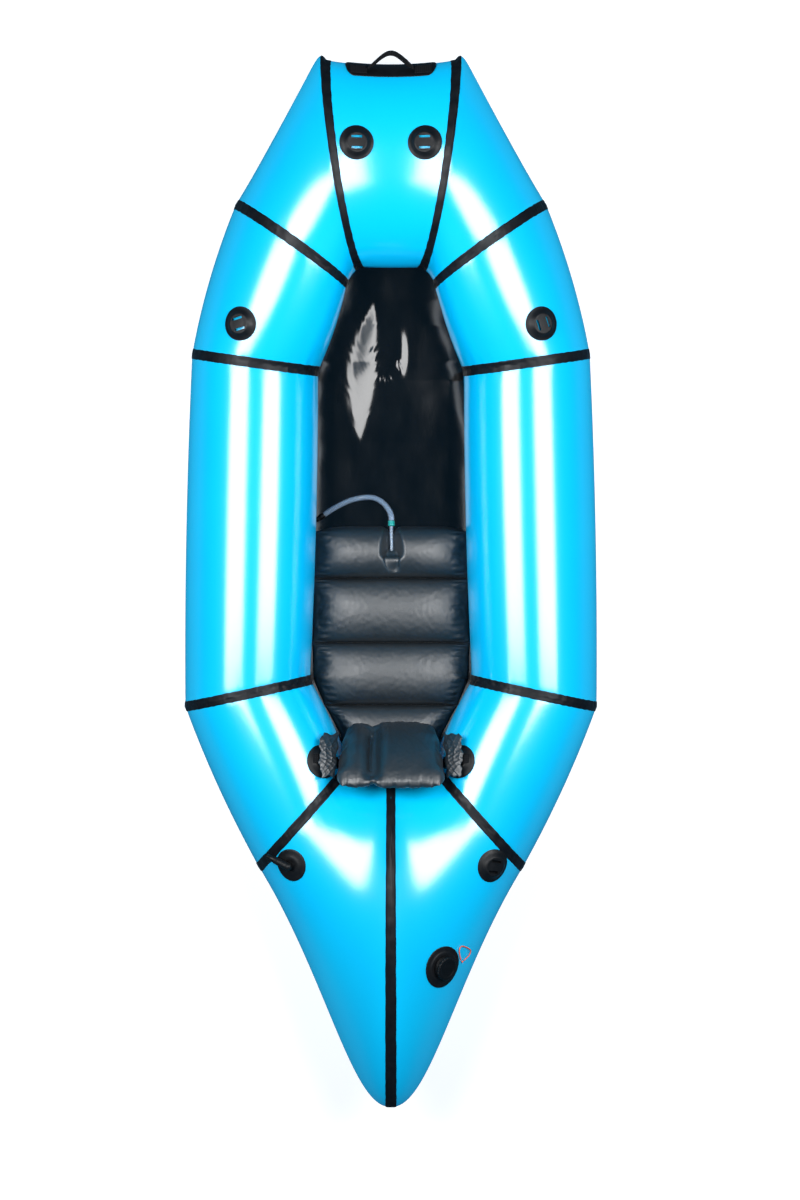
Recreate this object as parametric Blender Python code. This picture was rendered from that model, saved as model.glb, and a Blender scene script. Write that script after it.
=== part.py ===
"""One-person inflatable raft, lying on its floor.

Metres, +Z up, bow towards +Y. The origin is the middle of the floor's flat underside.
The hull is a ring of fabric tube panels. Each panel is lofted between two mitred seams,
and a welded tape covers every seam.
"""

import math

import bmesh
import bpy
from mathutils import Matrix, Vector
from mathutils.bvhtree import BVHTree

# Driving dimensions: the hull in plan, right-hand side, each seam from inboard to outboard
BOW_SEAM = ((0.065, 0.678), (0.1405, 1.107))
QUARTER_SEAM = ((0.0992, 0.640), (0.333, 0.807))
SHOULDER_SEAM = ((0.159, 0.451), (0.433, 0.489))
SIDE_SEAM = ((0.1766, -0.222), (0.448, -0.280))
STERN_SEAM = ((0.0894, -0.407), (0.287, -0.628))
TAIL_SEAM = ((0.0, -0.407), (0.0, -1.144))

# Heights of those seams: half height above, half height below, level inboard, level outboard
HULL_BASE = 0.0033
TUBE_RADIUS = 0.1375
BOW_RISE = (0.140, 0.156, 0.166, 0.306)
QUARTER_RISE = (0.137, 0.158, 0.170, 0.210)
SIDE_RISE = (TUBE_RADIUS, TUBE_RADIUS, HULL_BASE + TUBE_RADIUS, HULL_BASE + TUBE_RADIUS)
STERN_RISE = (0.134, 0.1405, 0.133, 0.166)
TAIL_RISE = (0.178, 0.149, 0.168, 0.210)

# How far the top of a seam leans sideways, for each metre that it rises
BOW_LEAN = (0.111, -0.311)
QUARTER_LEAN = (-0.228, -0.163)
SHOULDER_LEAN = (0.0, -0.063)
STERN_LEAN = (-0.080, 0.0895)
TAIL_LEAN = (0.0, -0.03)

# How much fuller a seam is inboard than outboard; 0.5 is an even ellipse
BOW_TAPER = 0.67
QUARTER_TAPER = 0.553
TAIL_TAPER = 0.8

# How the panels swell between their seams, as shares of their length, and how far up that goes
QUARTER_BULGE = (0.027, 0.0)
SHOULDER_BULGE = (0.027, 0.59)
SIDE_BULGE = (0.007, 1.0)
STERN_BULGE = (0.020, 0.45)
BOW_HOLLOW = 0.0095
BOW_DIP = 0.0185
BOW_CORNER = 0.088
BOW_CORNER_LENGTH = 0.030

# Fabric, tape and the gaps between touching pieces
SIDES = 28
LOWEST = 3 * SIDES // 4
FABRIC = 0.0015
TAPE = 0.0008
TAPE_WIDTH = 0.019
TOUCH = 0.0005
SEAM_GAP = 0.0004
SKIN_GAP = 0.0012
SLANT_GAP = 0.0006
FLOOR_DROP = HULL_BASE - FABRIC
TAIL_LEAVE = (1.53, 1.40, 1.52)
TAIL_ARRIVE = (0.88, -0.05, 0.53)
FLOOR_EDGE_STEPS = 2

# Lash patches: moulded discs with a bridge that a 25 mm strap passes under
PATCH_RADIUS = 0.0368
PLATEAU_RADIUS = 0.0195
PLATEAU_HEIGHT = 0.0100
TUNNEL = (0.025, 0.031, 0.0065)
SLOT = 0.0076
BOW_PATCH = (0.073, 0.924)
SHOULDER_PATCH = (0.3235, 0.545)
STERN_PATCH = (0.219, -0.619)
BACKREST_PATCH = (0.148, -0.396)

# Bow handle
HANDLE_PATCH_HALF = 0.0975
HANDLE_PATCH_LIFT = 0.0014
HANDLE_ANCHOR = 0.049
HANDLE_TURN = 17.0
HANDLE_TILT = 6.0
HANDLE_SIDE = ((0.049, 0.0), (0.0425, 0.0055), (0.0330, 0.0130), (0.0210, 0.0215), (0.0095, 0.0272), (0.0, 0.0288))
HANDLE_WIDTH = 0.025
HANDLE_END_WIDTH = 0.008
WEBBING = 0.0024

# Valves
VALVE_AT = (0.111, -0.835)
VALVE_RADIUS = 0.046
CAP_RADIUS = 0.0255
TOPOFF_AT = (-0.2144, -0.6175)
TOPOFF_END = (-0.2570, -0.5940)
TOPOFF_RADIUS = 0.0355
STEM_RADIUS = 0.0072
STEM_BORE = 0.0045

# Seat, its weld lines along Y from the front edge to the back, and the backrest
SEAT_WELDS = (0.1155, 0.0, -0.1417, -0.2790, -0.4000)
SEAT_HALF_WIDTH = 0.177
SEAT_REAR_HALF_WIDTH = 0.092
SEAT_MIDDLE = 0.047
SEAT_CROWN = 0.041
SEAT_CREASE = 0.001
BACKREST_LOW = (-0.318, 0.168)
BACKREST_HIGH = (-0.447, 0.328)
BACKREST_HALF_WIDTH = 0.120
BACKREST_CREASE = -0.040
STRAP = 0.0014

# Seat inflation hose
HOSE_DIAMETER = 0.012
STEM_TUBE = 0.0076


def material(name, colour, roughness, metallic=0.0):
    """One Principled material in a linear colour."""
    made = bpy.data.materials.new(name)
    made.use_nodes = True
    shader = made.node_tree.nodes["Principled BSDF"]
    shader.inputs["Base Color"].default_value = (*colour, 1.0)
    shader.inputs["Roughness"].default_value = roughness
    shader.inputs["Metallic"].default_value = metallic
    made.diffuse_color = (*colour, 1.0)
    return made


def add_object(name, shape, finish, origin=(0, 0, 0), sharp=40.0):
    """Put a bmesh in the scene as an object with its origin at a point."""
    bmesh.ops.recalc_face_normals(shape, faces=shape.faces)
    if shape.calc_volume(signed=True) < 0:
        bmesh.ops.reverse_faces(shape, faces=shape.faces)
    mesh = bpy.data.meshes.new(name)
    origin = Vector(origin)
    bmesh.ops.translate(shape, verts=shape.verts, vec=-origin)
    shape.to_mesh(mesh)
    shape.free()
    mesh.shade_smooth()
    mesh.set_sharp_from_angle(angle=math.radians(sharp))
    mesh.materials.append(finish)
    made = bpy.data.objects.new(name, mesh)
    made.location = origin
    bpy.context.scene.collection.objects.link(made)
    return made


def loops_shape(loops, closed=True, caps=False, split=False, crossed=()):
    """Join loops of points, all of one length, into a skin.

    Closed joins the last to the first. Split gives every face a diagonal, the other one in
    the crossed bands, so that a skin laid over another bends along the same lines.
    """
    shape = bmesh.new()
    rows = [[shape.verts.new(point) for point in loop] for loop in loops]
    count = len(rows[0])
    pairs = list(zip(rows, rows[1:]))
    if closed:
        pairs.append((rows[-1], rows[0]))
    for band, (low, high) in enumerate(pairs):
        for i in range(count):
            j = (i + 1) % count
            if not split:
                shape.faces.new((low[i], low[j], high[j], high[i]))
            elif band in crossed:
                shape.faces.new((low[i], low[j], high[i]))
                shape.faces.new((low[j], high[j], high[i]))
            else:
                shape.faces.new((low[i], low[j], high[j]))
                shape.faces.new((low[i], high[j], high[i]))
    if caps:
        shape.faces.new(reversed(rows[0]))
        shape.faces.new(rows[-1])
    return shape


def close_poles(shape):
    """Merge the points that a turned shape has many times over on its axis."""
    bmesh.ops.remove_doubles(shape, verts=shape.verts, dist=1e-6)
    loose = [edge for edge in shape.edges if not edge.link_faces]
    bmesh.ops.delete(shape, geom=loose, context="EDGES")
    return shape


def turned(profile, sides=24, frame=Matrix.Identity(4)):
    """Turn a closed profile of (radius, height) points round the frame's Z axis."""
    loops = []
    for i in range(sides):
        angle = 2 * math.pi * i / sides
        loop = [frame @ Vector((r * math.cos(angle), r * math.sin(angle), z)) for r, z in profile]
        loops.append(loop)
    return close_poles(loops_shape(loops))


def ribbon(stations, thickness):
    """A flat strap through stations of (centre, across, normal), across being half its width."""
    loops = []
    for centre, across, normal in stations:
        lift = normal.normalized() * thickness / 2
        loops.append([
            centre - across - lift, centre + across - lift,
            centre + across + lift, centre - across + lift,
        ])
    return loops_shape(loops, closed=False, caps=True)


class Section:
    """A closed cut through the tube at a seam, between two points in plan."""

    def __init__(self, seam, rise, lean=(0.0, 0.0), taper=0.5):
        self.inner, self.outer = (Vector(point) for point in seam)
        self.above, self.below, self.z_inner, self.z_outer = rise
        self.lean = Vector(lean)
        self.taper = taper
        self.phase = 0.0
        turns = [math.radians(180 + 0.5 * i) for i in range(360)]
        lowest = min(turns, key=lambda turn: self.at(turn).z)
        self.phase = math.radians(270) - lowest

    def swell(self, along):
        """Half thickness as a share of its largest, from inboard to outboard."""
        if along <= 0.0 or along >= 1.0:
            return 0.0
        widest = 0.5 / (0.5 + self.taper)
        peak = widest ** 0.5 * (1 - widest) ** self.taper
        return along ** 0.5 * (1 - along) ** self.taper / peak

    def at(self, angle, wall=0.0):
        """The skin at an angle, 0 outboard, 90 degrees the top, 270 degrees the lowest line."""
        turn = angle - self.phase
        along = (1 + math.cos(turn)) / 2
        step = (self.outer - self.inner).normalized() * wall
        outer = self.outer - step * (3.0 if self.taper > 0.5 else 1.0)
        plan = (self.inner + step).lerp(outer, along)
        half = self.above if math.sin(turn) > 0 else self.below
        rise = math.copysign(self.swell(along) * (half - wall), math.sin(turn))
        plan = plan + self.lean * rise
        level = self.z_inner + (self.z_outer - self.z_inner) * along
        return Vector((plan.x, plan.y, level + rise))

    def centre(self):
        middle = (self.inner + self.outer) / 2
        return Vector((middle.x, middle.y, (self.z_inner + self.z_outer) / 2))

    def mirrored(self):
        """The same seam on the left-hand side."""
        other = Section.__new__(Section)
        other.__dict__.update(self.__dict__)
        other.inner = Vector((-self.inner.x, self.inner.y))
        other.outer = Vector((-self.outer.x, self.outer.y))
        other.lean = Vector((-self.lean.x, self.lean.y))
        return other


class Panel:
    """A length of hull tube lofted between two seams, swollen a little by its air."""

    def __init__(self, start, end, bulge=(0.0, 0.0), middles=(0.5,), tail=False, hollow=0.0, dip=0.0, corner=0.0):
        self.start, self.end = start, end
        self.bulge, self.upward = bulge
        self.middles, self.tail = middles, tail
        self.hollow, self.dip, self.corner = hollow, dip, corner

    def ends(self, angle, wall):
        """End points and end tangents of one line along the panel."""
        first, last = self.start.at(angle, wall), self.end.at(angle, wall)
        run = last - first
        if not self.tail:
            return first, last, run, run
        return first, last, run * Vector(TAIL_LEAVE), run * Vector(TAIL_ARRIVE)

    def point(self, angle, t, wall=0.0):
        first, last, leave, arrive = self.ends(angle, wall)
        place = (
            first * (2 * t ** 3 - 3 * t ** 2 + 1) + leave * (t ** 3 - 2 * t ** 2 + t)
            + last * (3 * t ** 2 - 2 * t ** 3) + arrive * (t ** 3 - t ** 2)
        )
        spread = 4 * t * (1 - t)
        out = (first - self.start.centre()).lerp(last - self.end.centre(), t).normalized()
        free = min(1.0, max(0.0, (math.sin(angle) + 0.9) / 0.9))
        outboard = max(0.0, math.cos(angle - self.start.phase)) ** 2
        if self.corner:
            early = self.corner * (1 - math.exp(-t / BOW_CORNER_LENGTH)) * (1 - t) ** 1.2
            swollen = self.bulge * spread * (1 - outboard) + early * outboard
        else:
            swollen = self.bulge * spread
        push = out * swollen * (last - first).length * free
        push.z *= self.upward
        return place + push - Vector((0, self.hollow * spread * outboard, self.dip * spread * free))

    def normal(self, angle, t):
        step = self.share(angle, TAPE_WIDTH / 2, False) if t in (0.0, 1.0) else 1e-3
        low, high = max(0.0, t - step), min(1.0, t + step)
        around = self.point(angle + 1e-3, t) - self.point(angle - 1e-3, t)
        along = self.point(angle, high) - self.point(angle, low)
        facing = around.cross(along).normalized()
        outward = self.point(angle, t) - self.start.centre().lerp(self.end.centre(), t)
        return facing if facing.dot(outward) > 0 else -facing

    def share(self, angle, distance, at_end):
        """The value of t at a distance from one end of the panel."""
        first, last, leave, arrive = self.ends(angle, 0.0)
        return 1 - distance / arrive.length if at_end else distance / leave.length

    def rows(self, angle, taped=True):
        """Where the rows of faces lie on one line: the seam gaps, the tapes' edges, the rows between."""
        gap, tape = SEAM_GAP / 2, TAPE_WIDTH / 2
        low, high = self.share(angle, tape, False), self.share(angle, tape, True)
        between = [low + (high - low) * t for t in self.middles]
        if taped or self.tail or self.corner:
            between = [low, *between, high]
        return [self.share(angle, gap, False), *between, self.share(angle, gap, True)]


def angles():
    return [2 * math.pi * k / SIDES for k in range(SIDES)]


def make_sections():
    """Every seam of the hull, by name, right and left."""
    right = {
        "bow": Section(BOW_SEAM, BOW_RISE, BOW_LEAN, BOW_TAPER),
        "quarter": Section(QUARTER_SEAM, QUARTER_RISE, QUARTER_LEAN, QUARTER_TAPER),
        "shoulder": Section(SHOULDER_SEAM, SIDE_RISE, SHOULDER_LEAN),
        "side": Section(SIDE_SEAM, SIDE_RISE),
        "stern": Section(STERN_SEAM, STERN_RISE, STERN_LEAN),
        "tail": Section(TAIL_SEAM, TAIL_RISE, TAIL_LEAN, TAIL_TAPER),
    }
    left = {name: section.mirrored() for name, section in right.items()}
    return {"right": right, "left": left}


def make_panels(sections):
    """Every panel of the hull, by name."""
    thirds = (0.25, 0.5, 0.75)
    ends = sections["left"]["bow"], sections["right"]["bow"]
    bow = Panel(*ends, middles=thirds, hollow=BOW_HOLLOW, dip=BOW_DIP)
    panels = {"bow_panel": bow}
    for side, cuts in sections.items():
        quarter = Panel(cuts["bow"], cuts["quarter"], QUARTER_BULGE, middles=(0.10, 0.5), corner=BOW_CORNER)
        tail = Panel(cuts["stern"], cuts["tail"], middles=(0.10, 0.21, 0.35, 0.54, 0.77), tail=True)
        panels[f"bow_quarter_{side}"] = quarter
        panels[f"bow_shoulder_{side}"] = Panel(cuts["quarter"], cuts["shoulder"], SHOULDER_BULGE)
        panels[f"side_tube_{side}"] = Panel(cuts["shoulder"], cuts["side"], SIDE_BULGE)
        panels[f"stern_quarter_{side}"] = Panel(cuts["side"], cuts["stern"], STERN_BULGE)
        panels[f"stern_half_{side}"] = tail
    return panels


def panel_shape(panel):
    """An open-ended fabric tube: outer rows forwards, inner rows back, bent along the same lines."""
    turn = angles()
    count = len(panel.rows(0.0))
    inner_count = len(panel.rows(0.0, taped=False))
    loops = [[panel.point(a, panel.rows(a)[i]) for a in turn] for i in range(count)]
    for i in reversed(range(inner_count)):
        loops.append([panel.point(a, panel.rows(a, False)[i], FABRIC) for a in turn])
    return loops_shape(loops, split=True, crossed=range(count, count + inner_count - 1))


def mitre(near, far):
    """Two skins' normals averaged at their seam, longer where the seam is sharp."""
    middle = (near + far).normalized()
    return middle / max(0.5, middle.dot(near))


def tape_shape(first, first_at_end, second, second_at_end):
    """A welded band over the seam between two panels."""
    tape = TAPE_WIDTH / 2
    skins = [[], [], []]
    for angle in angles():
        t_first, t_second = float(first_at_end), float(second_at_end)
        edge_first = first.share(angle, tape, first_at_end)
        edge_second = second.share(angle, tape, second_at_end)
        out = mitre(first.normal(angle, edge_first), second.normal(angle, edge_second))
        skins[0].append((first.point(angle, edge_first), first.normal(angle, edge_first)))
        skins[1].append((first.point(angle, t_first), out))
        skins[2].append((second.point(angle, edge_second), second.normal(angle, edge_second)))
    loops = [[place + out * TOUCH for place, out in skin] for skin in skins]
    loops += [[place + out * (TOUCH + TAPE) for place, out in skin] for skin in reversed(skins)]
    crossed = (4 if first_at_end else 0, 1 if second_at_end else 3)
    return loops_shape(loops, split=True, crossed=crossed)


def fine_skin(panels):
    """The hull's smooth outer surface, to lay patches on."""
    points, faces = [], []
    around, along = 112, 24
    for panel in panels.values():
        base = len(points)
        for i in range(along + 1):
            for k in range(around):
                points.append(panel.point(2 * math.pi * k / around, i / along))
        for i in range(along):
            for k in range(around):
                a = base + i * around + k
                b = base + i * around + (k + 1) % around
                faces.append((a, b, b + around, a + around))
    return BVHTree.FromPolygons(points, faces)


class Spot:
    """A place on top of the hull, with a frame whose Z is the skin's normal."""

    def __init__(self, skin, at, heading):
        self.skin = skin
        self.origin, normal, _, _ = skin.ray_cast(Vector((at[0], at[1], 2.0)), Vector((0, 0, -1)))
        self.normal = normal if normal.z > 0 else -normal
        ahead = Vector((heading[0], heading[1], 0))
        self.ahead = (ahead - self.normal * ahead.dot(self.normal)).normalized()
        self.across = self.ahead.cross(self.normal)

    def frame(self, height=0.0):
        """A matrix with X across, Y ahead and Z out of the hull."""
        turn = Matrix((self.across, self.ahead, self.normal)).transposed().to_4x4()
        return Matrix.Translation(self.origin + self.normal * height) @ turn

    def drape(self, x, y, height):
        """A point over the skin, found along the normal at the middle."""
        start = self.origin + self.across * x + self.ahead * y + self.normal * 0.2
        hit, _, _, _ = self.skin.ray_cast(start, -self.normal)
        return hit + self.normal * height


def cut(shape, boxes):
    """Take boxes of (centre, size) out of a bmesh with Boolean modifiers."""
    mesh = bpy.data.meshes.new("blank")
    shape.to_mesh(mesh)
    shape.free()
    blank = bpy.data.objects.new("blank", mesh)
    bpy.context.scene.collection.objects.link(blank)
    cutters = []
    for centre, size in boxes:
        tool = bmesh.new()
        bmesh.ops.create_cube(tool, size=1.0, matrix=Matrix.Translation(centre) @ Matrix.Diagonal((*size, 1.0)))
        tool_mesh = bpy.data.meshes.new("cutter")
        tool.to_mesh(tool_mesh)
        tool.free()
        cutter = bpy.data.objects.new("cutter", tool_mesh)
        cutter.hide_render = True
        cutter.display_type = "WIRE"
        bpy.context.scene.collection.objects.link(cutter)
        step = blank.modifiers.new("cut", "BOOLEAN")
        step.operation = "DIFFERENCE"
        step.solver = "EXACT"
        step.object = cutter
        cutters.append(cutter)
    bpy.context.view_layer.update()
    evaluated = blank.evaluated_get(bpy.context.evaluated_depsgraph_get())
    result = bmesh.new()
    result.from_mesh(evaluated.to_mesh())
    for spent in (blank, *cutters):
        bpy.data.objects.remove(spent)
    return result


def lash_patch(name, spot, finish):
    """A dished disc laid on the hull, with a strap tunnel and two slots through its middle."""
    profile = (
        (0.0, 0.0), (PATCH_RADIUS, 0.0), (PATCH_RADIUS, 0.0012), (0.029, 0.0042),
        (PLATEAU_RADIUS + 0.0015, PLATEAU_HEIGHT - 0.001), (PLATEAU_RADIUS, PLATEAU_HEIGHT), (0.0, PLATEAU_HEIGHT),
    )
    wide, long, high = TUNNEL
    slot_y = (long - SLOT) / 2
    below = 0.002
    shape = cut(turned(profile, 16), (
        (Vector((0, 0, (high - below) / 2)), (wide, long, high + below)),
        (Vector((0, slot_y, high)), (wide, SLOT, 2 * PLATEAU_HEIGHT)),
        (Vector((0, -slot_y, high)), (wide, SLOT, 2 * PLATEAU_HEIGHT)),
    ))
    bmesh.ops.triangulate(shape, faces=shape.faces)
    for vert in shape.verts:
        vert.co = spot.drape(vert.co.x, vert.co.y, vert.co.z + SKIN_GAP)
    return add_object(name, shape, finish, spot.origin)


def draped_ring(name, spot, rings, finish, sides=24):
    """A flat moulded disc with a hole, laid on the hull; rings are (radius, top height)."""
    loops = []
    for i in range(sides):
        angle = 2 * math.pi * i / sides
        spread = [(rings[0][0], 0.0), *rings, (rings[-1][0], 0.0)]
        loops.append([
            spot.drape(r * math.cos(angle), r * math.sin(angle), h + SKIN_GAP) for r, h in spread
        ])
    return add_object(name, loops_shape(loops), finish, spot.origin)


def make_hull(panels, finish, tape_finish):
    for name, panel in panels.items():
        middle = (panel.start.centre() + panel.end.centre()) / 2
        add_object(name, panel_shape(panel), finish, middle)
    for side in ("right", "left"):
        seams = (
            ("bow", panels["bow_panel"], side == "right", panels[f"bow_quarter_{side}"]),
            ("quarter", panels[f"bow_quarter_{side}"], True, panels[f"bow_shoulder_{side}"]),
            ("shoulder", panels[f"bow_shoulder_{side}"], True, panels[f"side_tube_{side}"]),
            ("side", panels[f"side_tube_{side}"], True, panels[f"stern_quarter_{side}"]),
            ("stern", panels[f"stern_quarter_{side}"], True, panels[f"stern_half_{side}"]),
        )
        for seam, first, at_end, second in seams:
            shape = tape_shape(first, at_end, second, False)
            add_object(f"{seam}_seam_tape_{side}", shape, tape_finish, second.start.centre())
    right, left = panels["stern_half_right"], panels["stern_half_left"]
    add_object("tail_seam_tape", tape_shape(right, True, left, True), tape_finish, right.end.centre())


def hull_stations(panels, side):
    """Places along one side's panels that the floor is joined at, each with its mitred normal."""
    names = ("bow_quarter", "bow_shoulder", "side_tube", "stern_quarter", "stern_half")
    chain = [panels[f"{name}_{side}"] for name in names]
    before = panels["bow_panel"]

    def at(angle):
        spots = []
        last, last_t = before, 1.0 if side == "right" else 0.0
        for panel in chain:
            out = mitre(last.normal(angle, last_t), panel.normal(angle, 0.0))
            spots.append((panel.point(angle, 0.0), out))
            stops = panel.rows(angle, False)[1:-1]
            spots += [(panel.point(angle, t), panel.normal(angle, t)) for t in stops]
            last, last_t = panel, 1.0
        tail = last.normal(angle, 1.0)
        spots.append((last.point(angle, 1.0), mitre(tail, Vector((-tail.x, tail.y, tail.z)))))
        return spots

    return at


def floor_lines(panels, side):
    """Points of the floor's top along one side: the lowest line of the tube, then its edge strip."""
    at = hull_stations(panels, side)
    lines = []
    for step in range(FLOOR_EDGE_STEPS + 1):
        angle = 2 * math.pi * (LOWEST + step) / SIDES
        if step == 0:
            line = [place - Vector((0, 0, FLOOR_DROP)) for place, _ in at(angle)]
        else:
            line = [place + out * FLOOR_DROP for place, out in at(angle)]
        lines.append(line)
    return lines


def floor_level(line, y):
    """Height of the floor's top between the tubes."""
    for ahead, behind in zip(line, line[1:]):
        if behind.y <= y <= ahead.y:
            return ahead.z + (behind.z - ahead.z) * (ahead.y - y) / (ahead.y - behind.y)
    return line[0].z


def floor_tape_shape(panels):
    """A ring of tape under the tubes, from the floor's edge strip on to the hull."""
    skins = []
    for side in ("right", "left"):
        at = hull_stations(panels, side)
        angle = [2 * math.pi * (LOWEST + FLOOR_EDGE_STEPS + share) / SIDES for share in (-0.45, 0.03, 0.45)]
        under = FLOOR_DROP + FABRIC + TOUCH
        beside = TOUCH + TAPE + TOUCH
        rows = [
            [place + out * under for place, out in at(angle[0])],
            [place + out * under for place, out in at(angle[1])],
            [place + out * beside for place, out in at(angle[2])],
        ]
        rows.append([place + out * (beside + TAPE) for place, out in at(angle[2])])
        rows.append([place + out * (under + TAPE) for place, out in at(angle[1])])
        rows.append([place + out * (under + TAPE) for place, out in at(angle[0])])
        skins = [list(row) for row in rows] if side == "right" else [
            near + row[-2::-1] for near, row in zip(skins, rows)
        ]
    return loops_shape(skins)


def make_floor(panels, finish, tape_finish):
    """One sheet under the cockpit and the tubes, with its underside flat amidships."""
    shape = bmesh.new()
    right, left = floor_lines(panels, "right"), floor_lines(panels, "left")
    count = len(right[0])
    grid = {}
    for side, lines in (("right", right), ("left", left)):
        for step, line in enumerate(lines):
            for i, place in enumerate(line):
                shared = i == count - 1 and side == "left"
                grid[side, step, i] = grid["right", step, i] if shared else shape.verts.new(place)
    tops = []
    for i in range(count - 1):
        for step in range(FLOOR_EDGE_STEPS):
            tops.append([grid["right", step, i], grid["right", step + 1, i],
                         grid["right", step + 1, i + 1], grid["right", step, i + 1]])
            tops.append([grid["left", step, i + 1], grid["left", step + 1, i + 1],
                         grid["left", step + 1, i], grid["left", step, i]])
        middle = [grid["left", 0, i], grid["right", 0, i], grid["right", 0, i + 1]]
        if i < count - 2:
            middle.append(grid["left", 0, i + 1])
        tops.append(middle)
    for step in range(FLOOR_EDGE_STEPS):
        tops.append([grid["left", step, 0], grid["left", step + 1, 0],
                     grid["right", step + 1, 0], grid["right", step, 0]])
    below = {vert: shape.verts.new(vert.co - Vector((0, 0, FABRIC))) for vert in list(shape.verts)}
    for corners in tops:
        shape.faces.new(corners)
        shape.faces.new([below[vert] for vert in reversed(corners)])
    edge = [grid["right", FLOOR_EDGE_STEPS, i] for i in range(count)]
    edge += [grid["left", FLOOR_EDGE_STEPS, i] for i in reversed(range(count - 1))]
    for a, b in zip(edge, edge[1:] + edge[:1]):
        shape.faces.new((a, b, below[b], below[a]))
    add_object("floor", shape, finish)
    add_object("floor_seam_tape", floor_tape_shape(panels), tape_finish)
    return right[0]


def make_bow_handle(panel, skin_finish, web_finish):
    """A welded strip on the bow's front, two sewn tabs and the loop that swings between them."""
    phase = panel.start.phase

    def place(x, turn, height):
        angle = phase + math.radians(turn)
        t = 0.5 + x / (panel.end.at(angle).x - panel.start.at(angle).x)
        return panel.point(angle, t) + panel.normal(angle, t) * height

    low, high, corner = -7.0, 28.5, 0.012
    columns = [-HANDLE_PATCH_HALF, -HANDLE_PATCH_HALF + 0.4 * corner, -HANDLE_PATCH_HALF + corner]
    columns += [-0.055, -0.02, 0.02, 0.055]
    columns += [-x for x in reversed(columns[:3])]
    shrink = {0: 0.62, 1: 0.88, len(columns) - 2: 0.88, len(columns) - 1: 0.62}
    loops = []
    for i, x in enumerate(columns):
        share = shrink.get(i, 1.0)
        middle, half = (low + high) / 2, (high - low) / 2 * share
        turns = [middle + half * step for step in (-1.0, -0.5, 0.0, 0.5, 1.0)]
        outer = [place(x, turn, HANDLE_PATCH_LIFT + 0.0014) for turn in turns]
        inner = [place(x, turn, HANDLE_PATCH_LIFT) for turn in reversed(turns)]
        loops.append(outer + inner)
    add_object("bow_handle_patch", loops_shape(loops, False, True), skin_finish, place(0, 8, 0))

    turn = HANDLE_TURN
    lift = HANDLE_PATCH_LIFT + 0.0014 + TOUCH + WEBBING / 2
    for side, sign in (("left", -1), ("right", 1)):
        stations = []
        for x in (HANDLE_ANCHOR + 0.002, HANDLE_ANCHOR + 0.018, 0.088):
            centre = place(sign * x, turn, lift)
            up = place(sign * x, turn + 3, lift) - place(sign * x, turn - 3, lift)
            across = up.normalized() * HANDLE_WIDTH / 2
            out = place(sign * x, turn, lift + 0.01) - centre
            stations.append((centre, across, out))
        shape = ribbon(stations, WEBBING)
        add_object(f"bow_handle_tab_{side}", shape, web_finish, stations[0][0])

    foot = place(HANDLE_ANCHOR, turn, lift + 0.0035)
    half = smooth_route([Vector((x, y, 0)) for x, y in HANDLE_SIDE], 6)
    line = [Vector((-point.x, point.y, 0)) for point in half] + half[-2::-1]
    tilt = math.radians(HANDLE_TILT)
    across = Vector((0, math.sin(tilt), math.cos(tilt))) / 2
    strap = []
    for i, place_at in enumerate(line):
        before, after = line[max(0, i - 1)], line[min(len(line) - 1, i + 1)]
        swell = min(1.0, place_at.y / 0.012)
        width = HANDLE_END_WIDTH + (HANDLE_WIDTH - HANDLE_END_WIDTH) * swell
        centre = Vector((place_at.x, foot.y + place_at.y, foot.z))
        strap.append((centre, across * width, (after - before).cross(across)))
    axis = Vector((0, foot.y, foot.z))
    add_object("bow_handle_loop", ribbon(strap, WEBBING), web_finish, axis)


def make_lash_patches(skin, finish):
    for side, sign in (("right", 1), ("left", -1)):
        for name, at, heading in (
            ("bow_lash_patch", BOW_PATCH, (0, 1)),
            ("shoulder_lash_patch", SHOULDER_PATCH, (0.9, 0.3) if side == "right" else (0.3, 1)),
            ("backrest_lash_patch", BACKREST_PATCH, (1, 0)),
        ):
            spot = Spot(skin, (sign * at[0], at[1]), (sign * heading[0], heading[1]))
            lash_patch(f"{name}_{side}", spot, finish)
    lash_patch("stern_lash_patch", Spot(skin, STERN_PATCH, (0.2, 1)), finish)


def make_main_valve(skin, finish, rubber):
    """The filling valve: welded flange, threaded neck, gasket and screw cap."""
    spot = Spot(skin, VALVE_AT, (0, 1))
    draped_ring("valve_flange", spot, ((VALVE_RADIUS, 0.0012), (0.034, 0.0020), (0.0225, 0.0030)), rubber)
    frame = spot.frame(SKIN_GAP)
    neck = (
        (0.0165, -0.0100), (0.0210, -0.0100), (0.0210, 0.0038), (0.0262, 0.0038),
        (0.0262, 0.0060), (0.0195, 0.0060), (0.0195, 0.0084), (0.0165, 0.0084),
    )
    add_object("valve_neck", turned(neck, 24, frame), finish, frame.translation)
    gasket = ((0.0205, 0.0063), (0.0248, 0.0063), (0.0252, 0.0073), (0.0248, 0.0083), (0.0205, 0.0083))
    add_object("valve_gasket", turned(gasket, 24, frame), rubber, frame.translation)
    grips = 12
    loops = []
    for i in range(grips * 3):
        angle = 2 * math.pi * i / (grips * 3)
        rim = CAP_RADIUS - (0.0012 if i % 3 == 0 else 0.0)
        profile = (
            (0.0, 0.0087), (rim, 0.0087), (rim, 0.0150), (rim - 0.0014, 0.0164),
            (0.0185, 0.0164), (0.0170, 0.0154), (0.0, 0.0154),
        )
        loops.append([
            frame @ Vector((r * math.cos(angle), r * math.sin(angle), z)) for r, z in profile
        ])
    add_object("valve_cap", close_poles(loops_shape(loops)), finish, frame.translation)
    return spot


LANYARD_ROUTE = (
    (0.1490, -0.8225), (0.1462, -0.8095), (0.1455, -0.7985), (0.1492, -0.7920), (0.1560, -0.7925),
    (0.1640, -0.7965), (0.1700, -0.8030), (0.1672, -0.8120), (0.1610, -0.8185), (0.1555, -0.8235),
)


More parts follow.
